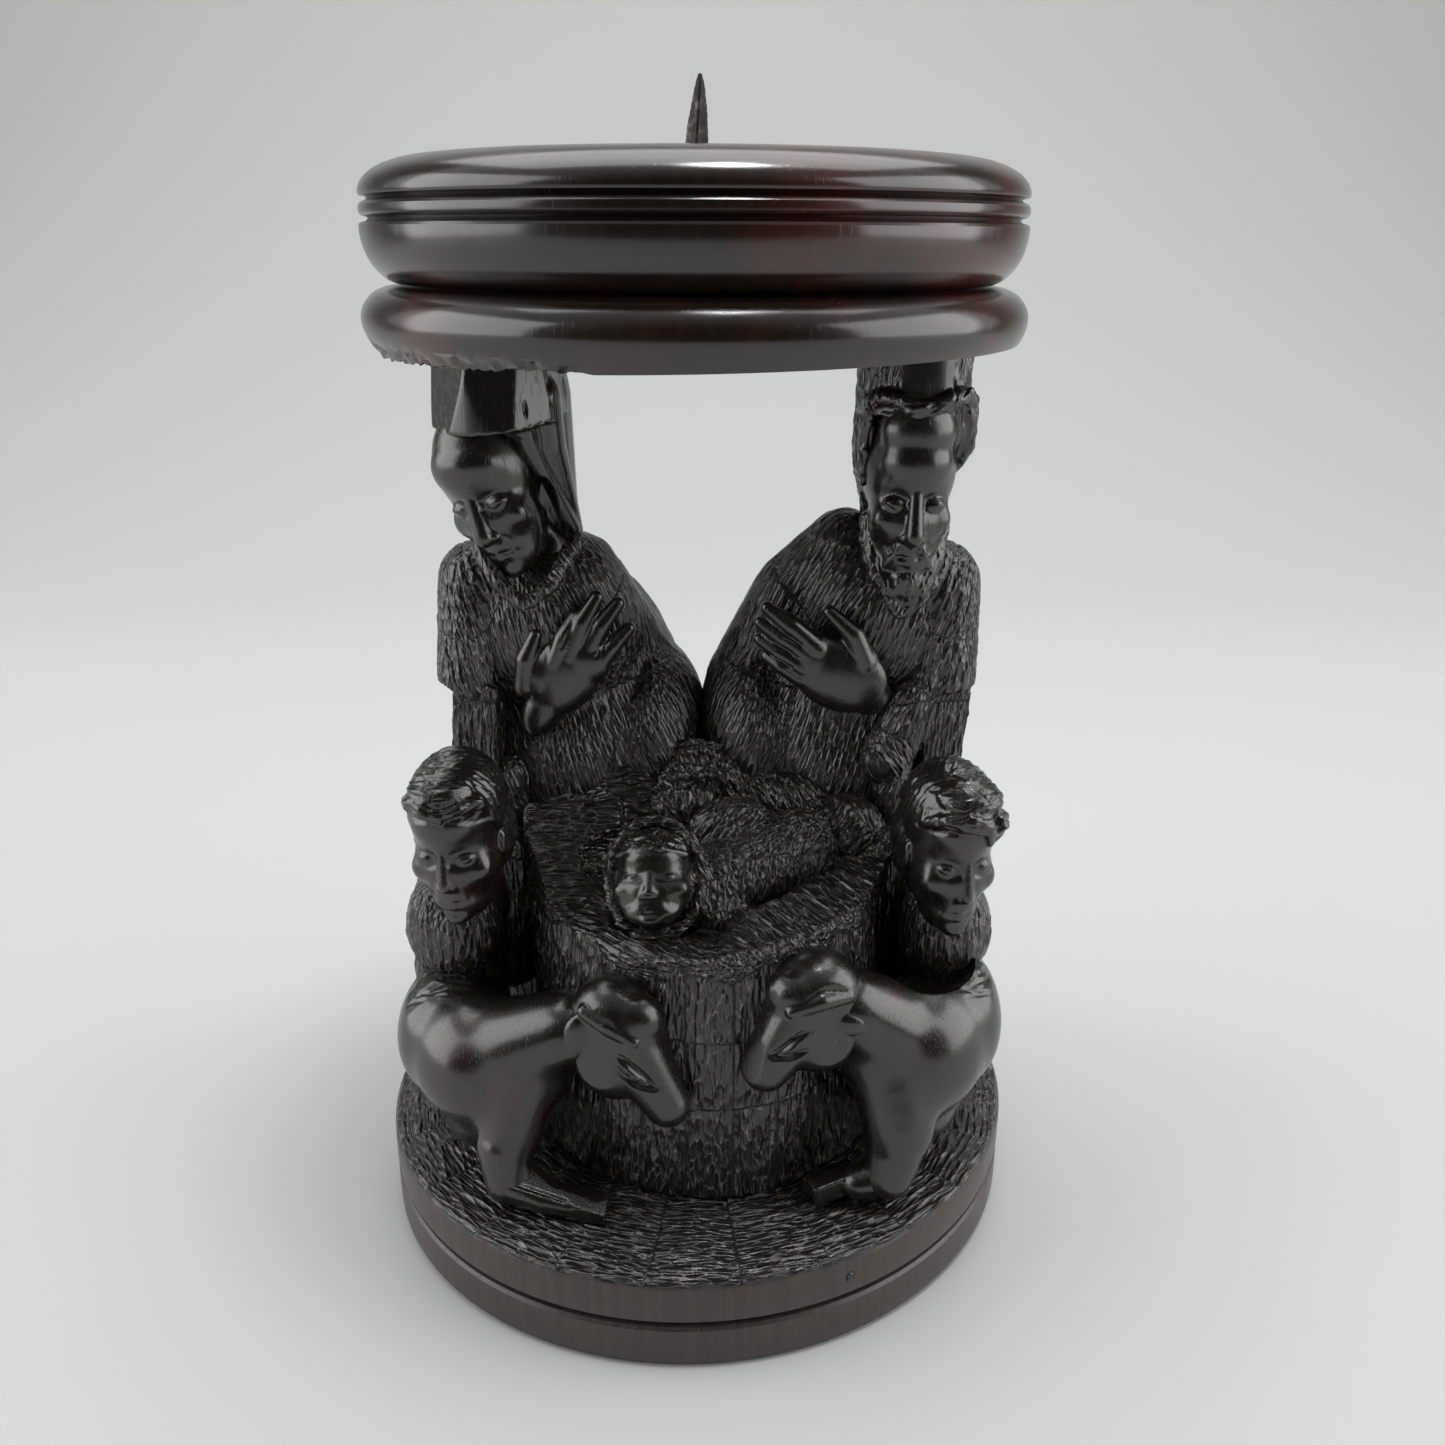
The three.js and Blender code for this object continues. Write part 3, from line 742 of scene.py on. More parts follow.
def press(piece, *pushes):
    """Soft pushes: the middle, the reach along x, y and z, and the push itself."""
    places, _ = skin(piece)
    for middle, reach, push in pushes:
        off = ((places - middle) / reach) ** 2
        places += np.exp(-off.sum(axis=1))[:, None] * np.array(push, float)
    put(piece, places)


def incise(piece, *lines):
    """V-cut lines: the points they run through, their half width and their depth."""
    places, normals = skin(piece)
    sunk = np.zeros(len(places))
    for path, width, depth in lines:
        path = np.array(path, float)
        near = np.where((
            (places > path.min(axis=0) - width) & (places < path.max(axis=0) + width)
        ).all(axis=1))[0]
        spot = places[near]
        far = np.full(len(near), 1e9)
        for start, end in zip(path, path[1:]):
            way = end - start
            along = np.clip((spot - start) @ way / (way @ way), 0, 1)
            far = np.minimum(far, np.linalg.norm(spot - start - np.outer(along, way), axis=1))
        sunk[near] = np.maximum(sunk[near], depth * np.clip(1 - far / width, 0, 1) ** 1.2)
    put(piece, places - normals * sunk[:, None])


def curved(*points, steps=8):
    """Points along a smooth line through the given ones."""
    points = [Vector(p) for p in points]
    ends = [2 * points[0] - points[1]] + points + [2 * points[-1] - points[-2]]
    line = []
    for a, b, c, d in zip(ends, ends[1:], ends[2:], ends[3:]):
        for step in range(steps):
            t = step / steps
            line.append(0.5 * (2 * b + (c - a) * t + (2 * a - 5 * b + 4 * c - d) * t ** 2
                               + (3 * b - a - 3 * c + d) * t ** 3))
    return line + [points[-1]]


woman_robe = fused("carved_woman_robe", [
    lobe((-27, 10.5, 101), (17.2, 13, 18.5), (0, -14, 0)),
    lobe((-23.2, 20.5, 72), (22.2, 21.5, 40)),
    lobe((-8, 14, 79), (9.5, 14, 18.5)),
    limb((-20, 12, 112), (-8, 14, 91), 5.2, 5.4),
    lobe((-23.5, 24.5, 37), (22.5, 21, 32)),
    lobe((-7, 28, 34), (8, 17, 30)),
    lobe((-15, 38.5, 20), (6.5, 7, 6)),
    lobe((-28, 35, 20), (6.5, 7, 6)),
], 1.0, 8)
shave(woman_robe,
      ((0, 0, GROUND_TOP - 0.2), (0, 0, -1), 0),
      ((1.2, 20, 60), (1, 0, 0), 0),
      ((-11.5, 4, 107), (0.80, -0.45, 0.45), 18),
      ((-24, -2.6, 100), (0.1, -1, 0.05), 20))
press(woman_robe, ((-28, -4, 86), (8, 6, 5), (0, 3.0, 0)), ((-20, -3, 90), (7, 6, 6), (0, 1.6, 0)))
woman_robe = fused(None, [
    chain([(-36.5, -0.6, 117), (-33, -3.4, 112), (-29.2, -4.2, 108.4)], [1.5, 1.6, 1.2]),
    chain([(-21, 1, 117.5), (-24.5, -2.4, 111.5), (-28.8, -4.2, 108.4)], [1.7, 1.6, 1.2]),
], 0.52, 2, onto=woman_robe)
incise(woman_robe,
       (curved((-18, 2, 116), (-13, 2, 108), (-8, 5, 99), (-5, 6, 92)), 1.0, 0.5),
       (curved((-40, 20, 100), (-38, 28, 80), (-36, 32, 55), (-37, 32, 30)), 1.6, 0.9),
       (curved((-30, 30, 105), (-26, 39, 80), (-24, 43, 52), (-22, 45, 30)), 1.8, 1.1),
       (curved((-18, 28, 106), (-13, 39, 80), (-11, 43, 52), (-10, 44, 32)), 1.6, 0.9),
       (curved((-44, 14, 96), (-44, 20, 70), (-44, 22, 45), (-44, 20, 26)), 1.4, 0.8))
chisel(woman_robe, [
    ((-40, 2, 110), (0.35, -0.2, -1)), ((-28, -3, 104), (0.25, 0, -1)), ((-20, -2, 112), (0.5, 0, -1)),
    ((-10, 4, 100), (0.45, 0, -1)), ((-6, 4, 88), (0.4, 0, -1)), ((-24, -2, 88), (0.3, 0, -1)),
    ((-44, 14, 95), (0.1, 0.2, -1)), ((-30, 26, 108), (0.2, 0.5, -1)), ((-40, 26, 75), (0.15, 0, -1)),
    ((-22, 40, 80), (0.1, 0, -1)), ((-8, 36, 85), (-0.1, 0, -1)), ((-42, 22, 40), (-0.1, 0, -1)),
    ((-25, 44, 40), (0.05, 0, -1)), ((-8, 44, 40), (-0.1, 0, -1)),
], 21, length=4.2, pitch=1.1, depth=0.15, jitter=9, fullness=0.8, wander=0.5)
finished(woman_robe, CHISELLED, "chiselled_blackwood", "woman_robe")

woman_sleeve = fused("carved_woman_sleeve", [
    limb((-38.2, 7, 110), (-39.6, 3.2, 93), 7.2, 6.4),
    limb((-39.6, 3.2, 93), (-38.4, 2.6, 90), 6.2, 5.4),
], 0.6, 6)
shave(woman_sleeve, ((-39.4, 0, 90.6), (-0.45, -0.2, -0.87), 0),
      ((-42, -3.0, 100), (-0.35, -0.93, 0), 0))
woman_sleeve = fused(None, [slab((-38.4, 2.4, 85), (8.2, 9.4, 17.5), (0, 4, -8))], 0.3, 2,
                     onto=woman_sleeve)
chisel(woman_sleeve, [
    ((-40, -3, 106), (0.38, 0, -1)), ((-42, -3, 97), (0.28, 0, -1)), ((-36, -3, 98), (0.3, 0, -1)),
    ((-38.5, -3, 84), (-0.06, 0, -1)), ((-43, 3, 84), (0, 0.1, -1)),
], 22, length=4.4, pitch=1.1, depth=0.3, jitter=7)
finished(woman_sleeve, CHISELLED, "chiselled_blackwood", "woman_sleeve")

woman_hand = fused("carved_woman_hand", [
    lobe((-26.4, -0.9, 90.0), (3.7, 2.4, 6.6), (0, 28, 0)),
    lobe((-22.8, -1.8, 95.8), (6.0, 2.4, 8.0), (0, 28, 0)),
    lobe((-19.8, -1.8, 98.2), (5.0, 2.3, 4.8)),
    lobe((-27.0, -1.8, 95.0), (3.6, 2.1, 4.4)),
], 0.4, 3)
woman_hand = fused(None, [
    chain([(-29.8, -1.6, 93.6), (-29.4, -2.2, 98.4), (-27.6, -2.0, 102.6)], [2.1, 1.8, 1.2]),
    chain([(-24.4, -2.0, 97.6), (-22.9, -2.4, 102), (-20.7, -2.0, 106)], [2.1, 1.8, 1.2]),
    chain([(-21.8, -2.0, 99.0), (-19.7, -2.3, 105), (-17.1, -1.6, 109.2)], [2.1, 1.8, 1.2]),
    chain([(-19.4, -1.9, 99.0), (-16.5, -1.9, 104.4), (-13.6, -1.0, 108.0)], [2.0, 1.7, 1.2]),
    chain([(-17.6, -1.7, 96.8), (-14.6, -1.5, 100.8), (-11.9, -0.6, 103.6)], [1.9, 1.6, 1.1]),
], 0.26, 4, onto=woman_hand)
incise(woman_hand,
       (((-22.9, -4.4, 101.0), (-21.5, -4.0, 104.6)), 0.5, 0.6),
       (((-19.4, -4.3, 102.0), (-17.0, -3.6, 106.0)), 0.5, 0.6),
       (((-17.2, -4.0, 99.4), (-14.8, -3.2, 102.4)), 0.5, 0.6))
finished(woman_hand, POLISHED, "polished_blackwood", "woman_hand")


# ==== Heads ==================================================================================
# Every head is cut from one pattern of even proportions: eyes at half the height, the nose to a
# third of the way down from there, calm, with lowered lids. Sanded and waxed.
def carved_head(name, lumps=(), features=(), more=(), cell=0.27, fullness=0.0, nose=1.0, relief=1.0,
                ears=True):
    """A head looking along -Y, 24 high, its middle between the eyes and the ears."""
    head = fused(name, [
        lobe((0, 1.2, 3.4), (7.9, 9.6, 8.8)),
        lobe((0, -2.4, -2.6), (6.7 + fullness, 6.4, 8.2)),
        lobe((0, -3.4, -7), (5.0 + fullness, 5.0, 5.0)),
        lobe((0, -6.5, -9.8), (2.5, 1.9, 2.0)),
        lobe((-4.0, -4.9, -2.6), (2.8 + fullness, 2.6, 2.8)),
        lobe((4.0, -4.9, -2.6), (2.8 + fullness, 2.6, 2.8)),
        lobe((0, -3.4, 5.0), (6.4, 5.5, 4.8)),
        limb((0, 3, -6), (0, 4, -14), 4.6, 4.8),
        *lumps,
    ], 0.6, 5)
    press(head,
          ((-3.2, -8.4, 0.2), (2.3, 2.8, 1.35), (0, 1.6 * relief, 0)),
          ((3.2, -8.4, 0.2), (2.3, 2.8, 1.35), (0, 1.6 * relief, 0)),
          ((-4.6, -6.4, -6.0), (1.8, 2.2, 2.0), (0.2, 0.5, 0)),
          ((4.6, -6.4, -6.0), (1.8, 2.2, 2.0), (-0.2, 0.5, 0)),
          ((0, -8.8, -9.0), (2.6, 1.6, 0.7), (0, 0.6, 0)))
    tip = -3.0 - 0.8 * nose
    head = fused(None, [
        chain([(0, -7.1, 2.0), (0, -7.9, -0.6), (0, -7.6 - 1.6 * nose, tip)],
              [1.1 * nose, 1.3 * nose, 1.55 * nose]),
        lobe((-1.4 * nose, -8.0, tip - 0.4), (1.1 * nose, 1.3, 0.9)),
        lobe((1.4 * nose, -8.0, tip - 0.4), (1.1 * nose, 1.3, 0.9)),
        lobe((-3.1, -6.3, -0.1), (2.0, 1.35, 1.05), (0, 5, 0)),
        lobe((3.1, -6.3, -0.1), (2.0, 1.35, 1.05), (0, -5, 0)),
        lobe((0, -7.0, -6.3), (2.3, 1.5, 0.95)),
        lobe((0, -6.9, -7.9), (1.8, 1.4, 0.9)),
        *(lobe((side * 7.6, 0.8, -1.0), (1.0, 2.0, 3.0), (12, 0, side * 12))
          for side in (-1, 1) if ears),
        *features,
    ], cell, 4, onto=head)
    for side in (-1, 1):
        incise(head,
               (curved((side * 1.3, -8.0, -0.4), (side * 3.1, -8.0, -0.95), (side * 5.0, -6.8, -0.2)),
                0.5, 0.4 * relief),
               (curved((side * 1.4, -7.6, 0.9), (side * 3.1, -7.9, 1.3), (side * 5.2, -6.5, 0.6)),
                0.5, 0.3 * relief),
               (curved((side * 2.1, -8.4, tip - 0.1), (side * 3.1, -7.6, -5.6), (side * 3.3, -7, -6.9)),
                0.7, 0.25 * relief))
    incise(head, (curved((-2.4, -7.3, -7.1), (0, -8.8, -7.2), (2.4, -7.3, -7.1)), 0.55, 0.5 * relief))
    if more:
        head = fused(None, list(more), cell, 1, onto=head)
    return head


def set_on(head, stretch, pitch, yaw, lean, place):
    """Stretches a head, nods it, turns it, leans it and moves it to its place, in degrees."""
    places, _ = skin(head)
    turn = Matrix.Rotation(math.radians(lean), 3, "Y")
    turn = turn @ Matrix.Rotation(math.radians(yaw), 3, "Z")
    turn = turn @ Matrix.Rotation(math.radians(pitch), 3, "X")
    put(head, (places * stretch) @ np.array(turn).T + np.array(place))


woman_face = carved_head("carved_woman_face", relief=0.8, ears=False)
set_on(woman_face, (1.08, 0.96, 1.18), 13, -26, -17, (-33.4, 1.4, 127.0))
finished(woman_face, POLISHED, "polished_blackwood", "woman_face")

beard_lumps = (
    chain([(-6.4, -0.6, -4), (-5.2, -3.0, -8.5), (-2.4, -5.8, -12), (-0.4, -6.6, -14.8)],
          [1.5, 2.0, 2.2, 0.9]),
    chain([(6.4, -0.6, -4), (5.2, -3.0, -8.5), (2.4, -5.8, -12), (0.4, -6.6, -14.8)],
          [1.5, 2.0, 2.2, 0.9]),
    lobe((0, -6.2, -11), (3.0, 2.2, 3.0)),
    chain([(0.3, -7.9, -5.5), (2.2, -7.5, -6.2), (3.6, -6.2, -8.6)], [0.7, 0.8, 0.6]),
    chain([(-0.3, -7.9, -5.5), (-2.2, -7.5, -6.2), (-3.6, -6.2, -8.6)], [0.7, 0.8, 0.6]),
)
man_face = carved_head("carved_man_face", features=beard_lumps, ears=False, lumps=[
    lobe((0, -2.6, 9.0), (6.6, 5.6, 5.0))])


def bearded(places, normals):
    low = eased((-8.6 - places[:, 2]) / 0.8)
    sides = eased((np.abs(places[:, 0]) - 4.6) / 0.8) * eased((-2.5 - places[:, 2]) / 1.0)
    lip = eased((1.3 - np.hypot(places[:, 2] + 6.0, (np.abs(places[:, 0]) - 2.2) * 0.6)) / 0.4)
    return np.clip(low + sides + lip * (places[:, 1] < -6), 0, 1) * (places[:, 1] < 2)


chisel(man_face, [
    ((0, -9, -13), (0, 0, -1)), ((-5, -5, -8), (0.5, 0, -1)), ((5, -5, -8), (-0.5, 0, -1)),
    ((-3, -8, -6), (-0.8, 0, -0.6)), ((3, -8, -6), (0.8, 0, -0.6)),
], 31, length=1.6, pitch=0.8, depth=0.22, where=bearded, jitter=25)
set_on(man_face, (0.98, 0.96, 1.22), 7, 4, 2, (34.2, 1.2, 126.4))
finished(man_face, POLISHED, "polished_blackwood", "man_face")


# ==== Woman's veil ===========================================================================
# The veil runs straight up into the capital as the column that carries it. Its front is pared
# in broad flats that overhang the brow, and it falls behind the right cheek to the shoulder.
def drum(place, radius, low, high):
    """An upright cylinder."""
    def add():
        bpy.ops.mesh.primitive_cylinder_add(
            vertices=72, radius=radius, depth=high - low, location=(*place, (high + low) / 2))
    return add


def scoop(piece, *bowls):
    """Round hollows: what lies inside the egg moves out to its wall."""
    places, _ = skin(piece)
    for middle, radii in bowls:
        off = (places - middle) / radii
        far = np.linalg.norm(off, axis=1)
        inside = (far < 1) & (far > 0.05)
        places[inside] = np.array(middle) + off[inside] / far[inside, None] * radii
    put(piece, places)


veil = fused("carved_veil", [drum((-31.9, 3.4), 11.6, 134, 151)], 0.6, 0)
shave(veil,
      ((-42.5, 0, 138), (-0.82, -0.53, 0.17), 0),
      ((-32, -7.9, 139), (0.10, -1, 0.13), 0),
      ((-25.4, -4.9, 141), (0.60, -0.80, 0.08), 0),
      ((-22.3, 4, 141), (0.98, -0.15, 0.13), 0),
      ((-37.1, -8, 136.0), (-0.10, 0, -1), 0),
      ((-37.1, -8, 136.0), (0.12, 0.10, -1), 0))
veil = fused(None, [
    limb((-31.0, 8.6, 141), (-29.6, 10.6, 120), 9.6, 8.6),
    chain([(-30.6, -6.0, 138.2), (-27.6, -4.4, 136.6), (-25.9, -2.4, 131.5), (-23.4, 0.8, 125),
           (-21.2, 3.6, 119.6)], [1.5, 1.6, 1.4, 1.3, 1.2]),
    chain([(-25.6, -0.4, 142), (-24.8, 0.6, 134), (-22.8, 3.4, 126), (-21.6, 6, 119)],
          [3.6, 3.2, 2.2, 1.8]),
    chain([(-28.6, -3.4, 140), (-27.2, -2.4, 134.6), (-25.6, -0.6, 130)], [3.2, 2.4, 1.4]),
], 0.32, 6, onto=veil)
shave(veil, ((-30, 0, 150.4), (0, 0, 1), 0), ((-30, 0, 109), (0, 0, -1), 0))
scoop(veil, ((-25.6, -2.4, 121.5), (3.2, 5.4, 8)))
incise(veil,
       (((-23.6, -2.9, 149), (-23.7, -2.7, 140), (-24.2, -1.8, 134)), 0.6, 0.7),
       (((-26.9, -6.6, 149), (-26.9, -6.4, 142), (-27.2, -5.6, 136.5)), 0.4, 0.4))
finished(veil, POLISHED, "polished_blackwood", "woman_veil")


# ==== Man: robe, sleeve and hand =============================================================
# He kneels at the right, bearded, in the same kind of robe, with his hand laid on his breast
# from the other side.
man_robe = fused("carved_man_robe", [
    lobe((32.5, 11.5, 102.5), (17.2, 13, 17.5), (0, 8, 0)),
    limb((25, 11, 116), (15.4, 12, 107.5), 6.2, 6),
    limb((15.4, 12, 107.5), (6.2, 13, 90.5), 6, 5.6),
    lobe((24.6, 20.5, 72), (22.4, 21.5, 40)),
    lobe((9, 14, 79.5), (10, 14, 19)),
    lobe((24.5, 24.5, 37), (22.5, 21, 32)),
    lobe((7, 28, 34), (8, 17, 30)),
    lobe((15, 38.5, 20), (6.5, 7, 6)),
    lobe((28, 35, 20), (6.5, 7, 6)),
], 1.0, 8)
shave(man_robe,
      ((0, 0, GROUND_TOP - 0.2), (0, 0, -1), 0),
      ((0.2, 20, 60), (-1, 0, 0), 0),
      ((14.5, 5, 110), (-0.66, -0.42, 0.62), 15),
      ((26, -2.0, 104), (-0.05, -1, 0.05), 20))
press(man_robe, ((26, -4, 85), (8, 6, 5), (0, 2.6, 0)), ((16, -2, 91), (7, 6, 5), (0, 1.6, 0)))
man_robe = fused(None, [
    chain([(27.6, 0.5, 119), (29.5, -2.6, 113), (33, -3.4, 107)], [1.4, 1.5, 1.2]),
    chain([(41.5, 1.5, 116), (38.5, -1.8, 111), (34, -3.2, 107)], [1.4, 1.5, 1.2]),
], 0.52, 2, onto=man_robe)
incise(man_robe,
       (curved((21, 3, 118), (15, 3, 111), (9, 5, 102)), 0.9, 0.5),
       (curved((22, 2, 116), (17, 2, 110)), 0.7, 0.5),
       (curved((40, 20, 102), (39, 28, 80), (37, 32, 55), (38, 32, 30)), 1.6, 0.9),
       (curved((30, 30, 107), (27, 39, 80), (25, 43, 52), (23, 45, 30)), 1.8, 1.1),
       (curved((18, 28, 108), (14, 39, 80), (12, 43, 52), (11, 44, 32)), 1.6, 0.9),
       (curved((46, 14, 96), (46, 20, 70), (46, 22, 45), (45, 20, 26)), 1.4, 0.8))
chisel(man_robe, [
    ((44, 3, 110), (-0.3, 0, -1)), ((34, -3, 104), (-0.35, 0, -1)), ((22, 0, 112), (-0.6, 0, -1)),
    ((10, 4, 100), (-0.5, 0, -1)), ((6, 4, 88), (-0.35, 0, -1)), ((24, -2, 88), (-0.3, 0, -1)),
    ((46, 14, 95), (-0.1, 0.2, -1)), ((30, 26, 108), (-0.2, 0.5, -1)), ((40, 26, 75), (-0.15, 0, -1)),
    ((22, 40, 80), (-0.1, 0, -1)), ((8, 36, 85), (0.1, 0, -1)), ((42, 22, 40), (0.1, 0, -1)),
    ((25, 44, 40), (-0.05, 0, -1)), ((8, 44, 40), (0.1, 0, -1)),
], 41, length=4.2, pitch=1.1, depth=0.15, jitter=9, fullness=0.8, wander=0.5)
finished(man_robe, CHISELLED, "chiselled_blackwood", "man_robe")

man_sleeve = fused("carved_man_sleeve", [
    limb((41.2, 7, 110), (42.2, 4, 94), 7.4, 6.2),
    limb((36.6, 0.6, 90.2), (32.6, -0.6, 79), 4.4, 5.2),
], 0.6, 6)
shave(man_sleeve, ((41, 0, 91.5), (0.2, -0.2, -0.95), 0),
      ((33.5, -5.4, 86), (-0.2, -0.95, 0.1), 0))
man_sleeve = fused(None, [slab((42, 4, 84), (7.4, 9.6, 17), (0, 5, 10)),
                          limb((36.8, 0.8, 90.6), (32.8, -0.4, 80), 3.9, 4.9)], 0.3, 2,
                   onto=man_sleeve)
chisel(man_sleeve, [
    ((44, -3, 107), (-0.35, 0, -1)), ((42, -3, 97), (-0.3, 0, -1)), ((48, 5, 100), (-0.15, 0.1, -1)),
    ((42.5, -3, 84), (-0.12, 0, -1)), ((35, -5, 90), (-0.4, 0, -1)), ((32, -5, 81), (0.7, 0, -1)),
], 42, length=4.4, pitch=1.1, depth=0.3, jitter=7)
finished(man_sleeve, CHISELLED, "chiselled_blackwood", "man_sleeve")

man_hand = fused("carved_man_hand", [
    lobe((27.8, -0.9, 92.8), (5.6, 2.3, 4.2), (0, 30, 0)),
    lobe((24.0, -1.8, 95.6), (8.6, 2.5, 6.4), (0, 22, 0)),
    lobe((19.8, -1.7, 98.2), (5.2, 2.3, 5.0)),
    lobe((26.8, -1.8, 98.0), (3.8, 2.2, 3.8)),
], 0.4, 3)
man_hand = fused(None, [
    chain([(28.0, -1.8, 98.0), (26.0, -2.4, 103), (21.8, -2.0, 106.9)], [2.3, 1.9, 1.2]),
    chain([(20.0, -2.0, 100.4), (15.6, -2.1, 104.4), (11.4, -1.1, 107.4)], [2.1, 1.8, 1.2]),
    chain([(18.6, -2.0, 99.2), (14, -1.9, 102.4), (10.2, -0.6, 104.7)], [1.9, 1.7, 1.1]),
    chain([(17.6, -1.9, 97.2), (13.6, -1.7, 99.8), (10.2, -0.4, 101.7)], [1.9, 1.6, 1.1]),
    chain([(17.4, -1.7, 95.2), (14, -1.4, 97.2), (11.3, -0.2, 98.7)], [1.8, 1.5, 1.0]),
], 0.26, 4, onto=man_hand)
incise(man_hand,
       (((17.0, -4.0, 101.5), (12.4, -3.0, 104.6)), 0.5, 0.6),
       (((15.6, -3.8, 99.9), (11.6, -2.6, 102.0)), 0.5, 0.6),
       (((15.4, -3.6, 97.4), (12.0, -2.2, 99.2)), 0.5, 0.6))
finished(man_hand, POLISHED, "polished_blackwood", "man_hand")


# ==== Man's hair =============================================================================
# His hair also rises into the capital. It is cut in locks at the sides, with a curled fringe
# over the brow and a smooth flat above it.
hair = fused("carved_man_hair", [
    drum((34.6, 2.6), 9.4, 139, 151),
    lobe((38.0, 4.6, 138), (7.2, 8.6, 9.5)),
    lobe((31, 6.5, 134), (5.8, 7.6, 14)),
    lobe((34.5, 9.5, 125), (7.4, 7.6, 15)),
], 0.6, 3)
shave(hair, ((34.6, -7.4, 144), (0, -1, 0.10), 0), ((27.5, -5, 144), (-0.8, -0.6, 0), 0))
hair = fused(None, [
    chain([(27.0, -2.0, 141), (28.6, -5.2, 142.4), (31.0, -7.0, 142.2), (33.2, -8.0, 140.8),
           (36.4, -7.6, 140.9), (39.6, -6.4, 142.2), (42.0, -3.4, 142.6), (43.2, 0.4, 141)],
          [1.3, 1.4, 1.4, 1.5, 1.5, 1.5, 1.7, 2.0]),
    chain([(42.8, -0.6, 140), (43.2, 0.8, 134), (41.4, 2.0, 129.6)], [2.0, 1.9, 1.2]),
    chain([(27.4, -1.6, 141), (26.8, -0.4, 135), (26.8, 0.8, 128)], [1.4, 1.4, 1.0]),
], 0.3, 2, onto=hair)
shave(hair, ((34, 0, 151), (0, 0, 1), 0))


def locks(places, normals):
    flat = (np.abs(places[:, 0] - 35.5) < 4.2) & (places[:, 1] < -2) & (places[:, 2] > 142)
    return 1.0 - flat


chisel(hair, [
    ((29, -5, 146), (0.15, 0, 1)), ((41, -5, 146), (0.45, 0, 1)), ((34, -8, 141), (1, 0, 0.35)),
    ((44, 0, 139), (-0.3, 0.2, 1)), ((43, 2, 131), (-0.25, 0, 1)), ((26, 1, 133), (0.1, 0, 1)),
    ((35, 16, 136), (0.1, 0, 1)), ((35, 16, 122), (-0.1, 0, 1)),
], 43, length=4.2, pitch=1.3, depth=0.42, where=locks, jitter=14)
finished(hair, POLISHED, "polished_blackwood", "man_hair")


# ==== Crib, hay and infant ===================================================================
# The crib is a stump with pared faces, its rim dished round the infant and banked up behind
# with hay under the adults' hands. The infant lies swaddled across it, head to the left.
crib = fused("carved_crib", [drum((2, -6.3), 31.6, 12, 70)], 0.9, 0)
shave(crib, ((1.6, -37.5, 60.4), (-0.06, -0.17, 0.98), 0), ((-14, -24, 60.6), (0.05, -0.05, 1), 22))
crib = fused(None, [
    slab((-21.5, -10.0, 61.2), (17, 24, 13), (42, 0, 6)),
    limb((-22, 3.5, 64), (24, 3.5, 62), 10.5, 10.5),
    limb((-14, 4, 69), (20, 3, 65), 8.5, 8.5),
    slab((2, 0, 40), (60, 22, 56)),
], 0.6, 2, onto=crib)
shave(crib,
      ((-12.6, -34, 40), (-0.29, -0.957, 0.03), 0),
      ((-17.5, -30, 40), (-0.64, -0.77, 0.06), 0),
      ((-26.0, -19.5, 40), (-0.87, -0.5, 0.04), 0),
      ((9.6, -36.6, 40), (0.30, -0.954, 0.01), 0),
      ((20, -30.6, 40), (0.66, -0.75, 0), 0),
      ((29, -20, 40), (0.9, -0.43, 0), 0),
      ((0, 0, GROUND_TOP - 0.3), (0, 0, -1), 0),
      ((0, 10.5, 40), (0, 1, 0), 0))
scoop(crib, ((-1, -16, 68), (20, 11, 8.6)), ((-6.8, -22.5, 67.5), (9.5, 9, 11)))
crib = fused(None, [
    chain([(-28.6, -12, 63.4), (-24.6, -17, 61.2), (-15.2, -27.0, 60.0), (-7, -34, 60.0),
           (1.0, -37.3, 60.4), (10, -34.8, 61.2), (21.6, -28, 62.6), (30.6, -13, 65.4)],
          [0.7, 0.8, 0.8, 0.8, 0.9, 0.9, 0.9, 0.7]),
], 0.46, 1, onto=crib)
wall_ways = []
for turn_step in range(-8, 9):
    turned_by = math.radians(90 + 14 * turn_step)
    spot = (2 + 32 * math.sin(turned_by - math.pi / 2), -6.3 - 32 * math.cos(turned_by - math.pi / 2))
    for level, lean in ((52, 0.10), (40, -0.08), (27, 0.06)):
        wall_ways.append(((*spot, level), (lean * math.cos(turned_by), 0, 1)))
chisel(crib, [
    ((-24, -8, 69), (1, 0.12, 0)), ((-16, -6, 71), (1, 0.05, 0)), ((-22, -16, 63), (1, 0.1, 0)),
    ((-14, -20, 61), (0.9, -0.3, 0)),
    ((-8, -31, 59.6), (0.7, -0.7, 0)), ((4, -33, 60.3), (0.7, -0.7, 0)),
    ((14, -29, 62), (0.6, -0.8, 0)), ((23, -20, 65), (0.6, -0.8, 0)),
    ((29, -10, 68), (0.6, -0.8, 0)), ((20, 0, 72), (0.5, -0.8, -0.2)), *wall_ways,
], 51, length=4.6, pitch=1.2, depth=0.38, jitter=8, wander=0.7)
finished(crib, CHISELLED, "chiselled_blackwood", "crib")

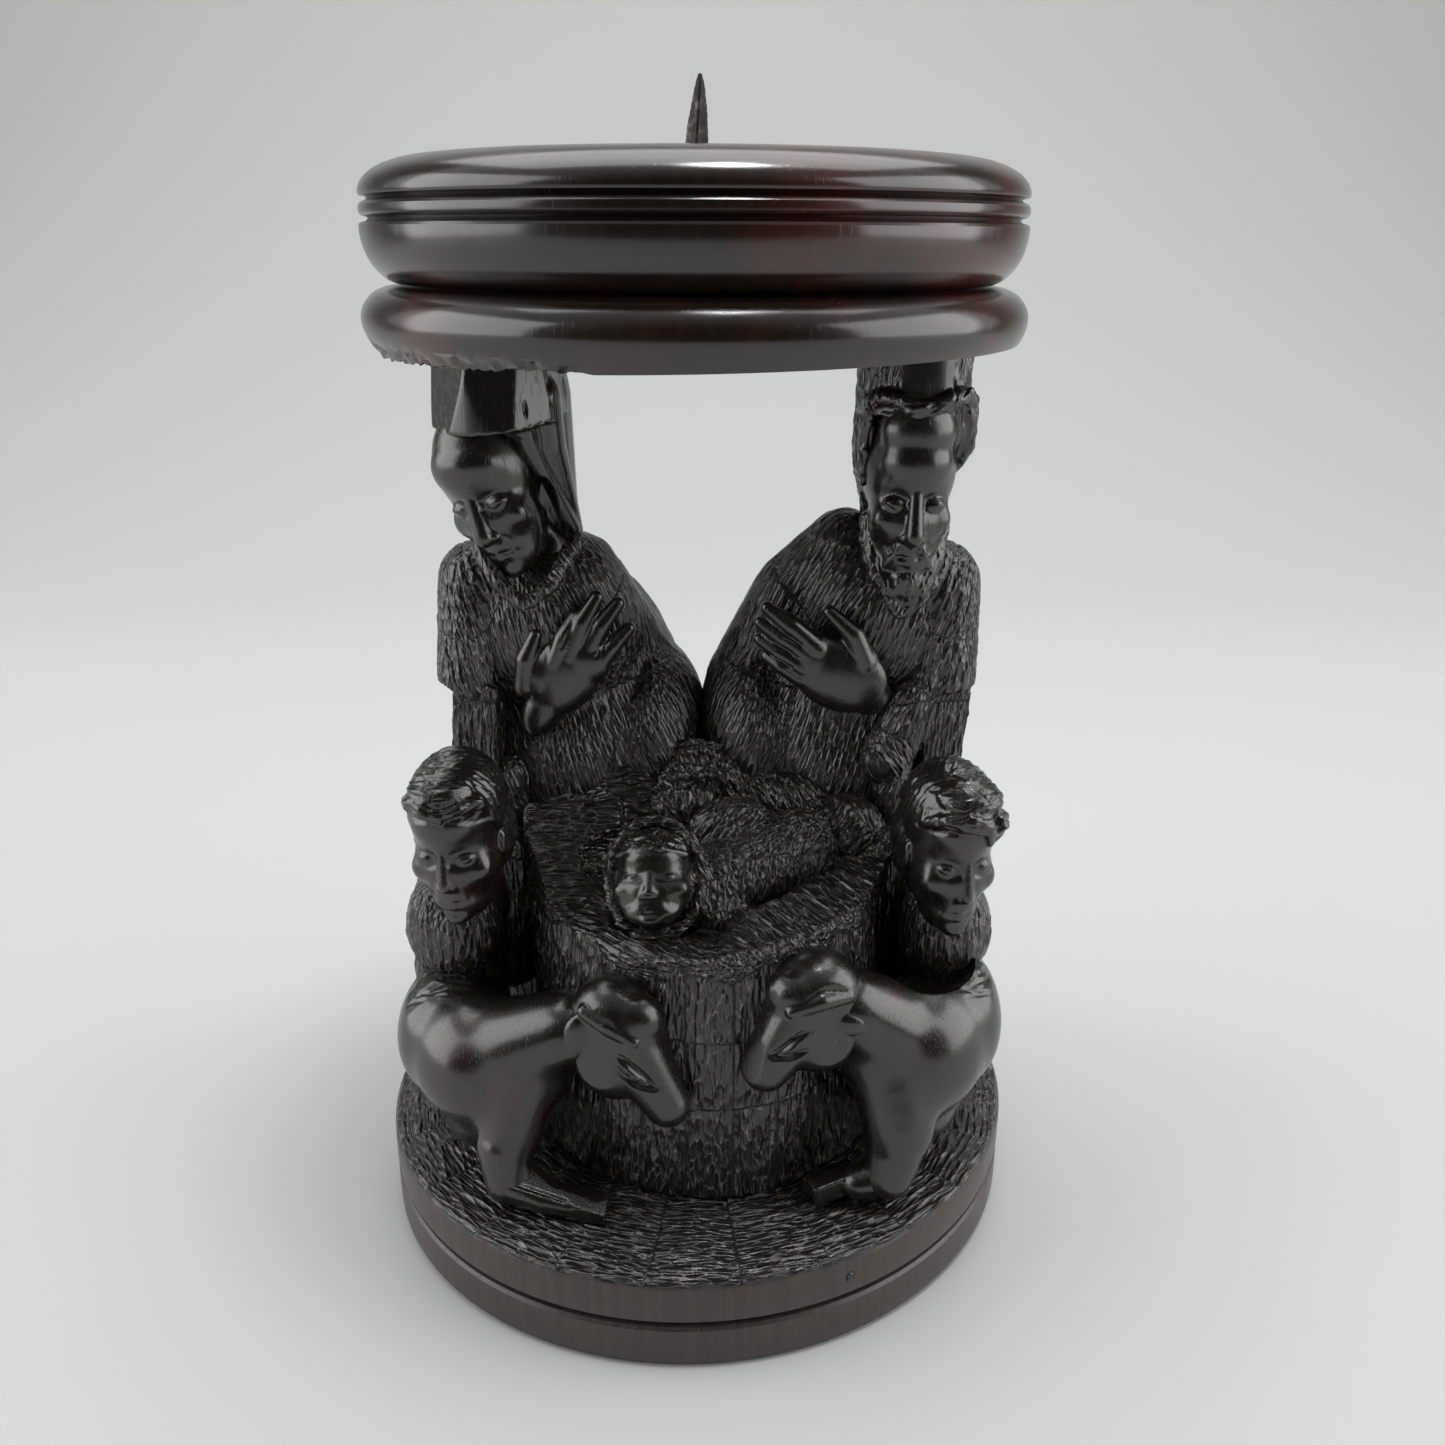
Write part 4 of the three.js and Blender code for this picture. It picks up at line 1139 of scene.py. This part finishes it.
hay = fused("carved_hay", [
    lobe((0.6, 4, 74), (10, 7, 7.6)),
    lobe((14, 2.5, 70.5), (11, 7.5, 7)),
    lobe((25.5, -3.5, 66.5), (7.6, 8.5, 8.0)),
    lobe((-12.5, 4, 71), (9, 6.5, 7.6)),
    lobe((-3, -3, 72), (6, 5, 5.5)),
], 0.6, 4)
hay = fused(None, [
    chain([(-8.0, -4.6, 75.4), (-5.4, -4.6, 77.6), (-1, -4.4, 78.6), (2.8, -4, 78), (5, -3.2, 75.8)],
          [0.7, 1.0, 1.1, 1.0, 0.7]),
    chain([(-6, 2, 81), (-1, 1.5, 82.2), (4, 2, 81.4)], [0.7, 0.8, 0.7]),
], 0.3, 2, onto=hay)
chisel(hay, [
    ((0, -5, 76), (0.1, -0.3, -1)), ((-7, -3, 74), (0.6, 0.1, -0.5)), ((2, 2, 82), (0.2, -1, -0.3)),
    ((-12, -2, 75), (0.9, 0.2, 0.1)), ((10, -3, 75), (0.5, -0.5, -0.8)),
    ((17, -4, 71), (0.5, -0.6, -0.7)), ((26, -10, 68), (-0.6, -0.7, -0.5)),
    ((30, -5, 70), (0.4, -0.8, -0.4)), ((22, -8, 72), (-0.5, -0.8, -0.3)),
], 52, length=3.6, pitch=1.2, depth=0.42, jitter=12)
finished(hay, CHISELLED, "chiselled_blackwood", "crib_hay")

wrap = fused("carved_wrap", [
    limb((-2, -18.5, 62.5), (17, -9.5, 66.5), 6.6, 7.6),
    lobe((6, -8, 68.5), (8.5, 6, 7.2)),
    lobe((12, -12.5, 64.5), (9.5, 6.2, 5.4), (0, -6, 20)),
    lobe((3, -19.5, 60.5), (6.5, 6, 4.6)),
], 0.6, 4)
hood_middle, hood_tilt = np.array((-6.9, -22.0, 67.2)), math.radians(57)
hood = []
for step in range(17):
    a = 2 * math.pi * step / 16
    off = np.array((7.6 * math.sin(a), -9.6 * math.cos(a) * math.cos(hood_tilt),
                    9.6 * math.cos(a) * math.sin(hood_tilt)))
    off[1] = -off[1]
    hood.append(tuple(hood_middle + off))
wrap = fused(None, [chain(hood, [1.25] * 17), lobe((-6.9, -19.5, 64.5), (7.6, 6.5, 8.6), (33, 0, 0))],
             0.3, 2, onto=wrap)
incise(wrap, (curved((1.5, -18, 73), (7, -13, 73), (12, -8, 74)), 0.7, 0.5),
       (curved((2.5, -22, 66), (9, -19, 66), (17, -14, 67), (23, -8, 68)), 0.6, 0.45))
chisel(wrap, [
    ((5, -12, 73), (0.6, 0.1, 0.8)), ((10, -13, 71), (0.7, 0.1, 0.7)), ((16, -11, 70), (0.6, 0.1, 0.8)),
    ((12, -19, 64), (0.2, -0.2, 1)), ((4, -22, 63), (0.1, -0.2, 1)), ((20, -12, 66), (0.3, -0.2, 1)),
    ((1, -19, 70), (-0.5, 0.2, 0.8)), ((-7, -17, 77), (1, 0, 0)), ((-7, -28, 59), (1, 0, 0)),
], 53, length=3.4, pitch=1.2, depth=0.34, jitter=12)
finished(wrap, CHISELLED, "chiselled_blackwood", "infant_wrap")

infant = carved_head("carved_infant_head", fullness=1.1, cell=0.34, nose=0.7, relief=0.4,
                     ears=False, more=(
    lobe((0, 2.0, 6.2), (7.8, 9.2, 7.4)),
    chain([(-6.8, -3.5, 6.0), (-3, -7.4, 7.6), (2, -8.0, 7.0), (6.6, -4.2, 5.6)], [1.0, 1.1, 1.1, 1.0]),
))
chisel(infant, [((0, -4, 11), (0.3, -0.6, 0.3)), ((-6, 0, 9), (0.2, -1, 0.2)), ((6, 0, 9), (-0.2, -1, 0.2))],
       54, length=2.4, pitch=1.1, depth=0.4, jitter=25,
       where=lambda p, n: eased((p[:, 2] - 6.4) / 0.8))
set_on(infant, (0.80, 0.66, 0.66), -33, -4, -4, (-7.1, -22.6, 67.2))
finished(infant, POLISHED, "polished_blackwood", "infant_head")


# ==== Children ===============================================================================
# Two shepherd children look out from behind the lambs, at the far left and the far right, each
# with a cap of combed hair and a cloak cut in upright grooves.
def hair_share(places, normals):
    crown = eased((places[:, 2] - 7.2 + 0.35 * np.abs(places[:, 0])) / 0.8)
    back = eased((places[:, 1] + 1.0) / 1.5) * eased((places[:, 2] + 5) / 2)
    return np.clip(crown + back, 0, 1)


combed = [((-4, -4, 12), (0.9, -0.5, 0)), ((4, -4, 12), (0.9, 0.3, 0)), ((0, 4, 13), (0.8, 0.4, 0)),
          ((8, 2, 7), (0.1, 0.3, -1)), ((-8, 2, 7), (-0.1, 0.3, -1)), ((0, 11, 6), (0, 0.2, -1))]

left_child = carved_head("carved_left_child", fullness=0.7, nose=0.8, relief=0.65, more=(
    lobe((0, 1.6, 5.6), (8.5, 9.9, 8.0)),
    lobe((0.4, 4.0, 0), (8.0, 7.6, 9)),
    chain([(-6.8, -3.0, 7.6), (-4.4, -6.4, 9.0), (-1.4, -8.2, 8.9), (1.4, -8.4, 7.6)], [1.2, 1.4, 1.5, 0.8]),
    chain([(1.2, -8.2, 7.7), (4.2, -6.6, 8.6), (6.6, -4, 8.4), (8.0, -0.8, 3.0)], [0.8, 1.3, 1.3, 0.9]),
    lobe((0, -3.2, 10), (6.0, 5.2, 3.2)),
))
chisel(left_child, combed, 61, length=4.4, pitch=1.15, depth=0.32, where=hair_share,
       jitter=12)
set_on(left_child, (0.96, 0.98, 1.1), 7, -12, -4, (-39.2, -17.6, 72.6))
finished(left_child, POLISHED, "polished_blackwood", "left_child_head")

right_child = carved_head("carved_right_child", fullness=0.5, nose=0.8, relief=0.65, more=(
    lobe((0.4, 1.6, 5.6), (8.5, 9.9, 7.6)),
    lobe((-0.4, 4.0, 0), (8.0, 7.6, 9)),
    chain([(-6.8, -2.6, 6.0), (-4.8, -6.4, 7.8), (-1.0, -8.4, 8.2), (2.0, -8.5, 7.6), (3.0, -8.3, 4.8)],
          [1.0, 1.3, 1.5, 1.4, 0.7]),
    chain([(3.0, -8.3, 5.0), (5.6, -6.6, 6.6), (7.6, -3.4, 6.0), (8.4, -0.4, 1.2)], [0.7, 1.5, 1.5, 0.9]),
    lobe((0.6, -3.2, 9.6), (6.2, 5.2, 3.2)),
))
chisel(right_child, combed, 62, length=4.4, pitch=1.15, depth=0.32, where=hair_share,
       jitter=12)
set_on(right_child, (0.93, 0.98, 1.14), 7, 18, 2, (41.0, -18.2, 71.4))
finished(right_child, POLISHED, "polished_blackwood", "right_child_head")

for side, name, top in ((-1, "left_child_bust", 66), (1, "right_child_bust", 67)):
    bust = fused("carved_" + name, [
        lobe((side * 41.8, -14, 55), (8.6, 9.4, 11)),
        limb((side * 41.5, -12, 44), (side * 41.2, -12, 60), 8.6, 7.6),
        limb((side * 40, -9, 60), (side * 40.5, -12, top), 5.5, 4.8),
        limb((side * 33, -8, 44), (side * 33, -8, 66), 5.0, 4.4),
        limb((side * 34, 0, 44), (side * 34, 2, 76), 6.0, 4.0),
    ], 0.5, 5)
    chisel(bust, [
        ((side * 46, -18, 55), (side * 0.12, 0, 1)), ((side * 40, -24, 55), (side * -0.06, 0, 1)),
        ((side * 34, -16, 55), (0, 0, 1)), ((side * 50, -10, 55), (0, 0.1, 1)),
        ((side * 34, -4, 74), (side * 0.3, 0, 1)),
    ], 63 + side, length=8.5, pitch=1.5, depth=0.42, jitter=6)
    finished(bust, CHISELLED, "chiselled_blackwood", name)


# ==== Lambs ==================================================================================
# Two lambs lie at the front with their heads turned in to the crib and a foreleg folded under.
# They are the smoothest part of the carving, sanded and waxed all over, with the ear and the
# eye cut in with a knife.
left_lamb = fused("carved_left_lamb", [
    lobe((-36.5, -27.5, 37), (12, 10.5, 11.5), (0, 0, -35)),
    lobe((-42.0, -18.5, 37.5), (9.2, 13, 12.5), (0, 0, -15)),
    lobe((-45, -3, 34), (6.8, 12.5, 13)),
    lobe((-28.5, -31.4, 38.5), (9.0, 6.6, 9.6), (0, 25, -20)),
    limb((-30, -30.6, 41), (-20.5, -33.5, 46.5), 8.2, 6.4),
    limb((-28.4, -32.4, 37), (-30.4, -36.2, 27), 6.8, 5.0),
    limb((-31.2, -36.4, 27), (-30.8, -38.2, 21), 4.6, 4.0),
    limb((-42, -13, 28), (-36, -26, 26), 8.5, 7.5),
], 0.8, 34)
left_lamb = fused(None, [limb((-31.4, -36.6, 26), (-30.8, -38.0, 20.2), 4.6, 4.0)], 0.42, 6,
                  onto=left_lamb)
scoop(left_lamb, ((-33.5, -20.5, 56.5), (10.5, 10, 9.5)))
shave(left_lamb, ((0, 0, GROUND_TOP - 0.2), (0, 0, -1), 0))
incise(left_lamb,
       (((-42, -28.6, 38.4), (-41.8, -28.9, 34.6)), 0.5, 0.3),
       (((-41.2, -29.1, 38), (-41, -29.4, 33.6)), 0.5, 0.35),
       (((-39.4, -30.6, 35.5), (-39.2, -30.8, 33)), 0.45, 0.25))
chisel(left_lamb, [((-33, -21, 47), (1, 0.2, -0.3)), ((-40, -10, 47), (0.8, 0.6, 0))], 71,
       length=4, pitch=1.2, depth=0.35, jitter=14,
       where=lambda p, n: eased((n[:, 2] - 0.45) / 0.2) * eased((p[:, 1] + 27) / 2) * (p[:, 2] > 42))
finished(left_lamb, POLISHED, "polished_blackwood", "left_lamb_body")

right_lamb = fused("carved_right_lamb", [
    lobe((37, -27.5, 39.5), (12, 10.5, 12.5), (0, 0, 35)),
    lobe((42.4, -18.5, 40.5), (9.0, 13, 13.5), (0, 0, 15)),
    lobe((45, -3, 36), (6.8, 12.5, 13)),
    lobe((30.5, -30.8, 41), (8.4, 6.6, 9.6), (0, -20, 20)),
    limb((31, -30.6, 45), (24, -33.4, 51), 8.0, 6.4),
    limb((32, -31.8, 38), (33, -35.4, 29), 7.4, 6.2),
    limb((33, -35.2, 28.6), (32, -36.8, 22), 5.4, 4.6),
    limb((42, -13, 28), (37, -25, 27), 8.5, 7.5),
], 0.8, 34)
right_lamb = fused(None, [limb((32.8, -35.6, 27), (31.4, -37.4, 21.2), 5.2, 4.2)], 0.42, 6,
                   onto=right_lamb)
scoop(right_lamb, ((38, -22.5, 58.5), (10.5, 11.5, 10.5)))
shave(right_lamb, ((0, 0, GROUND_TOP - 0.2), (0, 0, -1), 0))
incise(right_lamb,
       (((39.6, -31.6, 41.2), (39.5, -31.7, 39.4)), 0.45, 0.35),
       (((43.4, -28.4, 35.5), (43.2, -28.6, 33)), 0.45, 0.25))
chisel(right_lamb, [((38, -22, 48), (1, 0.5, 0.1)), ((42, -10, 50), (0.8, 0.6, 0))], 72,
       length=4.4, pitch=1.2, depth=0.38, jitter=14,
       where=lambda p, n: eased((n[:, 2] - 0.45) / 0.2) * eased((p[:, 1] + 29) / 2) * (p[:, 2] > 44))
finished(right_lamb, POLISHED, "polished_blackwood", "right_lamb_body")

left_head = fused("carved_left_lamb_head", [
    lobe((-12.8, -34.6, 49.6), (7.4, 6.8, 7.0)),
    limb((-12.0, -35.4, 48), (-4.6, -38.4, 35.6), 6.8, 3.9),
    lobe((-13.2, -35.8, 42.6), (6.6, 5.6, 7.6), (0, -28, 0)),
    limb((-13, -33, 44), (-18, -32, 45), 6.4, 5.6),
    lobe((-10.2, -37.2, 50.4), (5.6, 4.2, 4.8)),
], 0.6, 5)
shave(left_head,
      ((-12.5, -41.2, 46), (-0.35, -0.93, 0.05), 0),
      ((-5.0, -40.8, 46), (0.72, -0.66, 0.25), 0))
left_head = fused(None, [
    chain([(-17.4, -38.6, 52.6), (-13.6, -40.2, 51.0), (-9.6, -41.0, 48.6)], [1.1, 1.5, 1.0]),
    lobe((-18.9, -38.4, 47.6), (2.3, 1.3, 4.4), (0, 12, 0)),
    lobe((-10.0, -40.3, 43.8), (2.6, 1.2, 1.5), (0, 42, 0)),
], 0.28, 3, onto=left_head)
incise(left_head,
       (curved((-13.8, -42, 47.2), (-12.6, -42, 44.2), (-10.4, -42, 41.9), (-6.8, -41.6, 40.9)), 0.9, 1.2),
       (curved((-13.8, -42, 47.2), (-11.2, -42, 45.6), (-8.6, -42, 43.4), (-6.6, -41.6, 40.9)), 0.9, 1.2),
       (((-9.0, -42, 43.4), (-8.4, -42, 41.6)), 0.5, 0.4),
       (((-11.2, -42, 44.8), (-10.6, -42, 43.0)), 0.45, 0.3),
       (curved((-17.2, -41, 50.2), (-18.6, -40.5, 47.6), (-18.8, -40, 44.6)), 0.6, 0.5),
       (curved((-16.4, -41, 48.2), (-17.2, -40.6, 46), (-17.8, -40, 43.8)), 0.45, 0.35),
       (curved((-11.8, -40.2, 35.0), (-9.0, -41, 33.2), (-5.8, -41.6, 31.8)), 0.45, 0.4))
finished(left_head, POLISHED, "polished_blackwood", "left_lamb_head")

right_head = fused("carved_right_lamb_head", [
    lobe((18.8, -34.6, 54.6), (7.2, 6.8, 6.6)),
    limb((17.8, -35.4, 53), (11.0, -38.4, 42.6), 6.8, 4.1),
    lobe((19.2, -35.8, 47.4), (6.6, 5.6, 7.0), (0, 30, 0)),
    limb((20, -33, 48), (24, -32, 49), 6.4, 5.6),
    lobe((16.4, -37.2, 55.2), (5.8, 4.2, 4.4)),
], 0.6, 5)
shave(right_head,
      ((18.5, -41.0, 49), (0.30, -0.94, 0.05), 0),
      ((10.8, -40.8, 49), (-0.72, -0.66, 0.25), 0))
right_head = fused(None, [
    chain([(23.6, -38.4, 55.4), (19.4, -40.2, 55.6), (14.8, -40.8, 54.0)], [1.1, 1.5, 1.1]),
    lobe((23.4, -38.6, 50.6), (3.4, 1.3, 2.2), (0, 12, 0)),
    lobe((16.6, -40.3, 49.2), (3.0, 1.2, 1.5), (0, -36, 0)),
], 0.28, 3, onto=right_head)
incise(right_head,
       (curved((21.4, -41.8, 52.0), (18.8, -42, 51.6), (15.8, -42, 50.0), (12.2, -41.6, 47.0)), 0.9, 1.2),
       (curved((21.0, -41.8, 51.6), (19.2, -42, 48.6), (16.0, -42, 46.9), (12.2, -41.6, 46.8)), 0.9, 1.2),
       (((18.8, -42, 50.8), (18.2, -42, 48.8)), 0.55, 0.45),
       (((16.2, -42, 49.6), (15.8, -42, 47.8)), 0.45, 0.3),
       (curved((22.0, -41, 52.4), (23.8, -40.5, 51.2), (25.8, -40, 50.0)), 0.6, 0.55),
       (curved((21.6, -41, 51.4), (22.4, -40.6, 49.8), (22.4, -40, 48.2)), 0.45, 0.4),
       (curved((9.0, -41, 38.6), (12.4, -41.4, 39), (16, -40.4, 41)), 0.45, 0.45))
finished(right_head, POLISHED, "polished_blackwood", "right_lamb_head")

left_leg = fused("carved_left_foreleg", [
    limb((-30.6, -38.0, 20.4), (-24.5, -40.8, 18.9), 3.9, 2.6),
    limb((-24.5, -40.8, 18.9), (-18, -42.2, 18.2), 2.5, 1.9),
    slab((-17.0, -42.6, 18.1), (5.2, 3.2, 3.0), (0, 0, -9)),
    slab((-18.8, -39.4, 17.8), (9.0, 1.4, 3.0), (0, 3, -14)),
    limb((-31.5, -36, 20.5), (-22, -38.6, 17.6), 3, 1.4),
], 0.28, 3)
shave(left_leg, ((-22, -41, 20.9), (0.12, -0.35, 0.93), 0), ((0, 0, GROUND_TOP - 0.1), (0, 0, -1), 0),
      ((-23, -43.9, 19), (-0.2, -0.98, 0.1), 0))
incise(left_leg, (((-19.6, -44.6, 20.6), (-19.8, -44.6, 16.6)), 0.4, 0.35),
       (((-29, -41, 21.5), (-21, -43, 20)), 0.5, 0.3))
finished(left_leg, POLISHED, "polished_blackwood", "left_lamb_foreleg")

right_leg = fused("carved_right_foreleg", [
    limb((31.4, -36.6, 20.6), (26.5, -37.6, 19.8), 3.8, 3.0),
    slab((23.0, -37.8, 19.6), (9.0, 3.2, 3.6), (0, -10, 20)),
    slab((21.8, -34.8, 18.6), (9.2, 1.4, 3.2), (0, -4, 28)),
    limb((31, -35, 21), (24, -36, 18), 3, 1.5),
], 0.28, 3)
shave(right_leg, ((0, 0, GROUND_TOP - 0.1), (0, 0, -1), 0))
incise(right_leg, (((20.6, -41.4, 22), (20.2, -41.2, 17)), 0.4, 0.35))
finished(right_leg, POLISHED, "polished_blackwood", "right_lamb_foreleg")
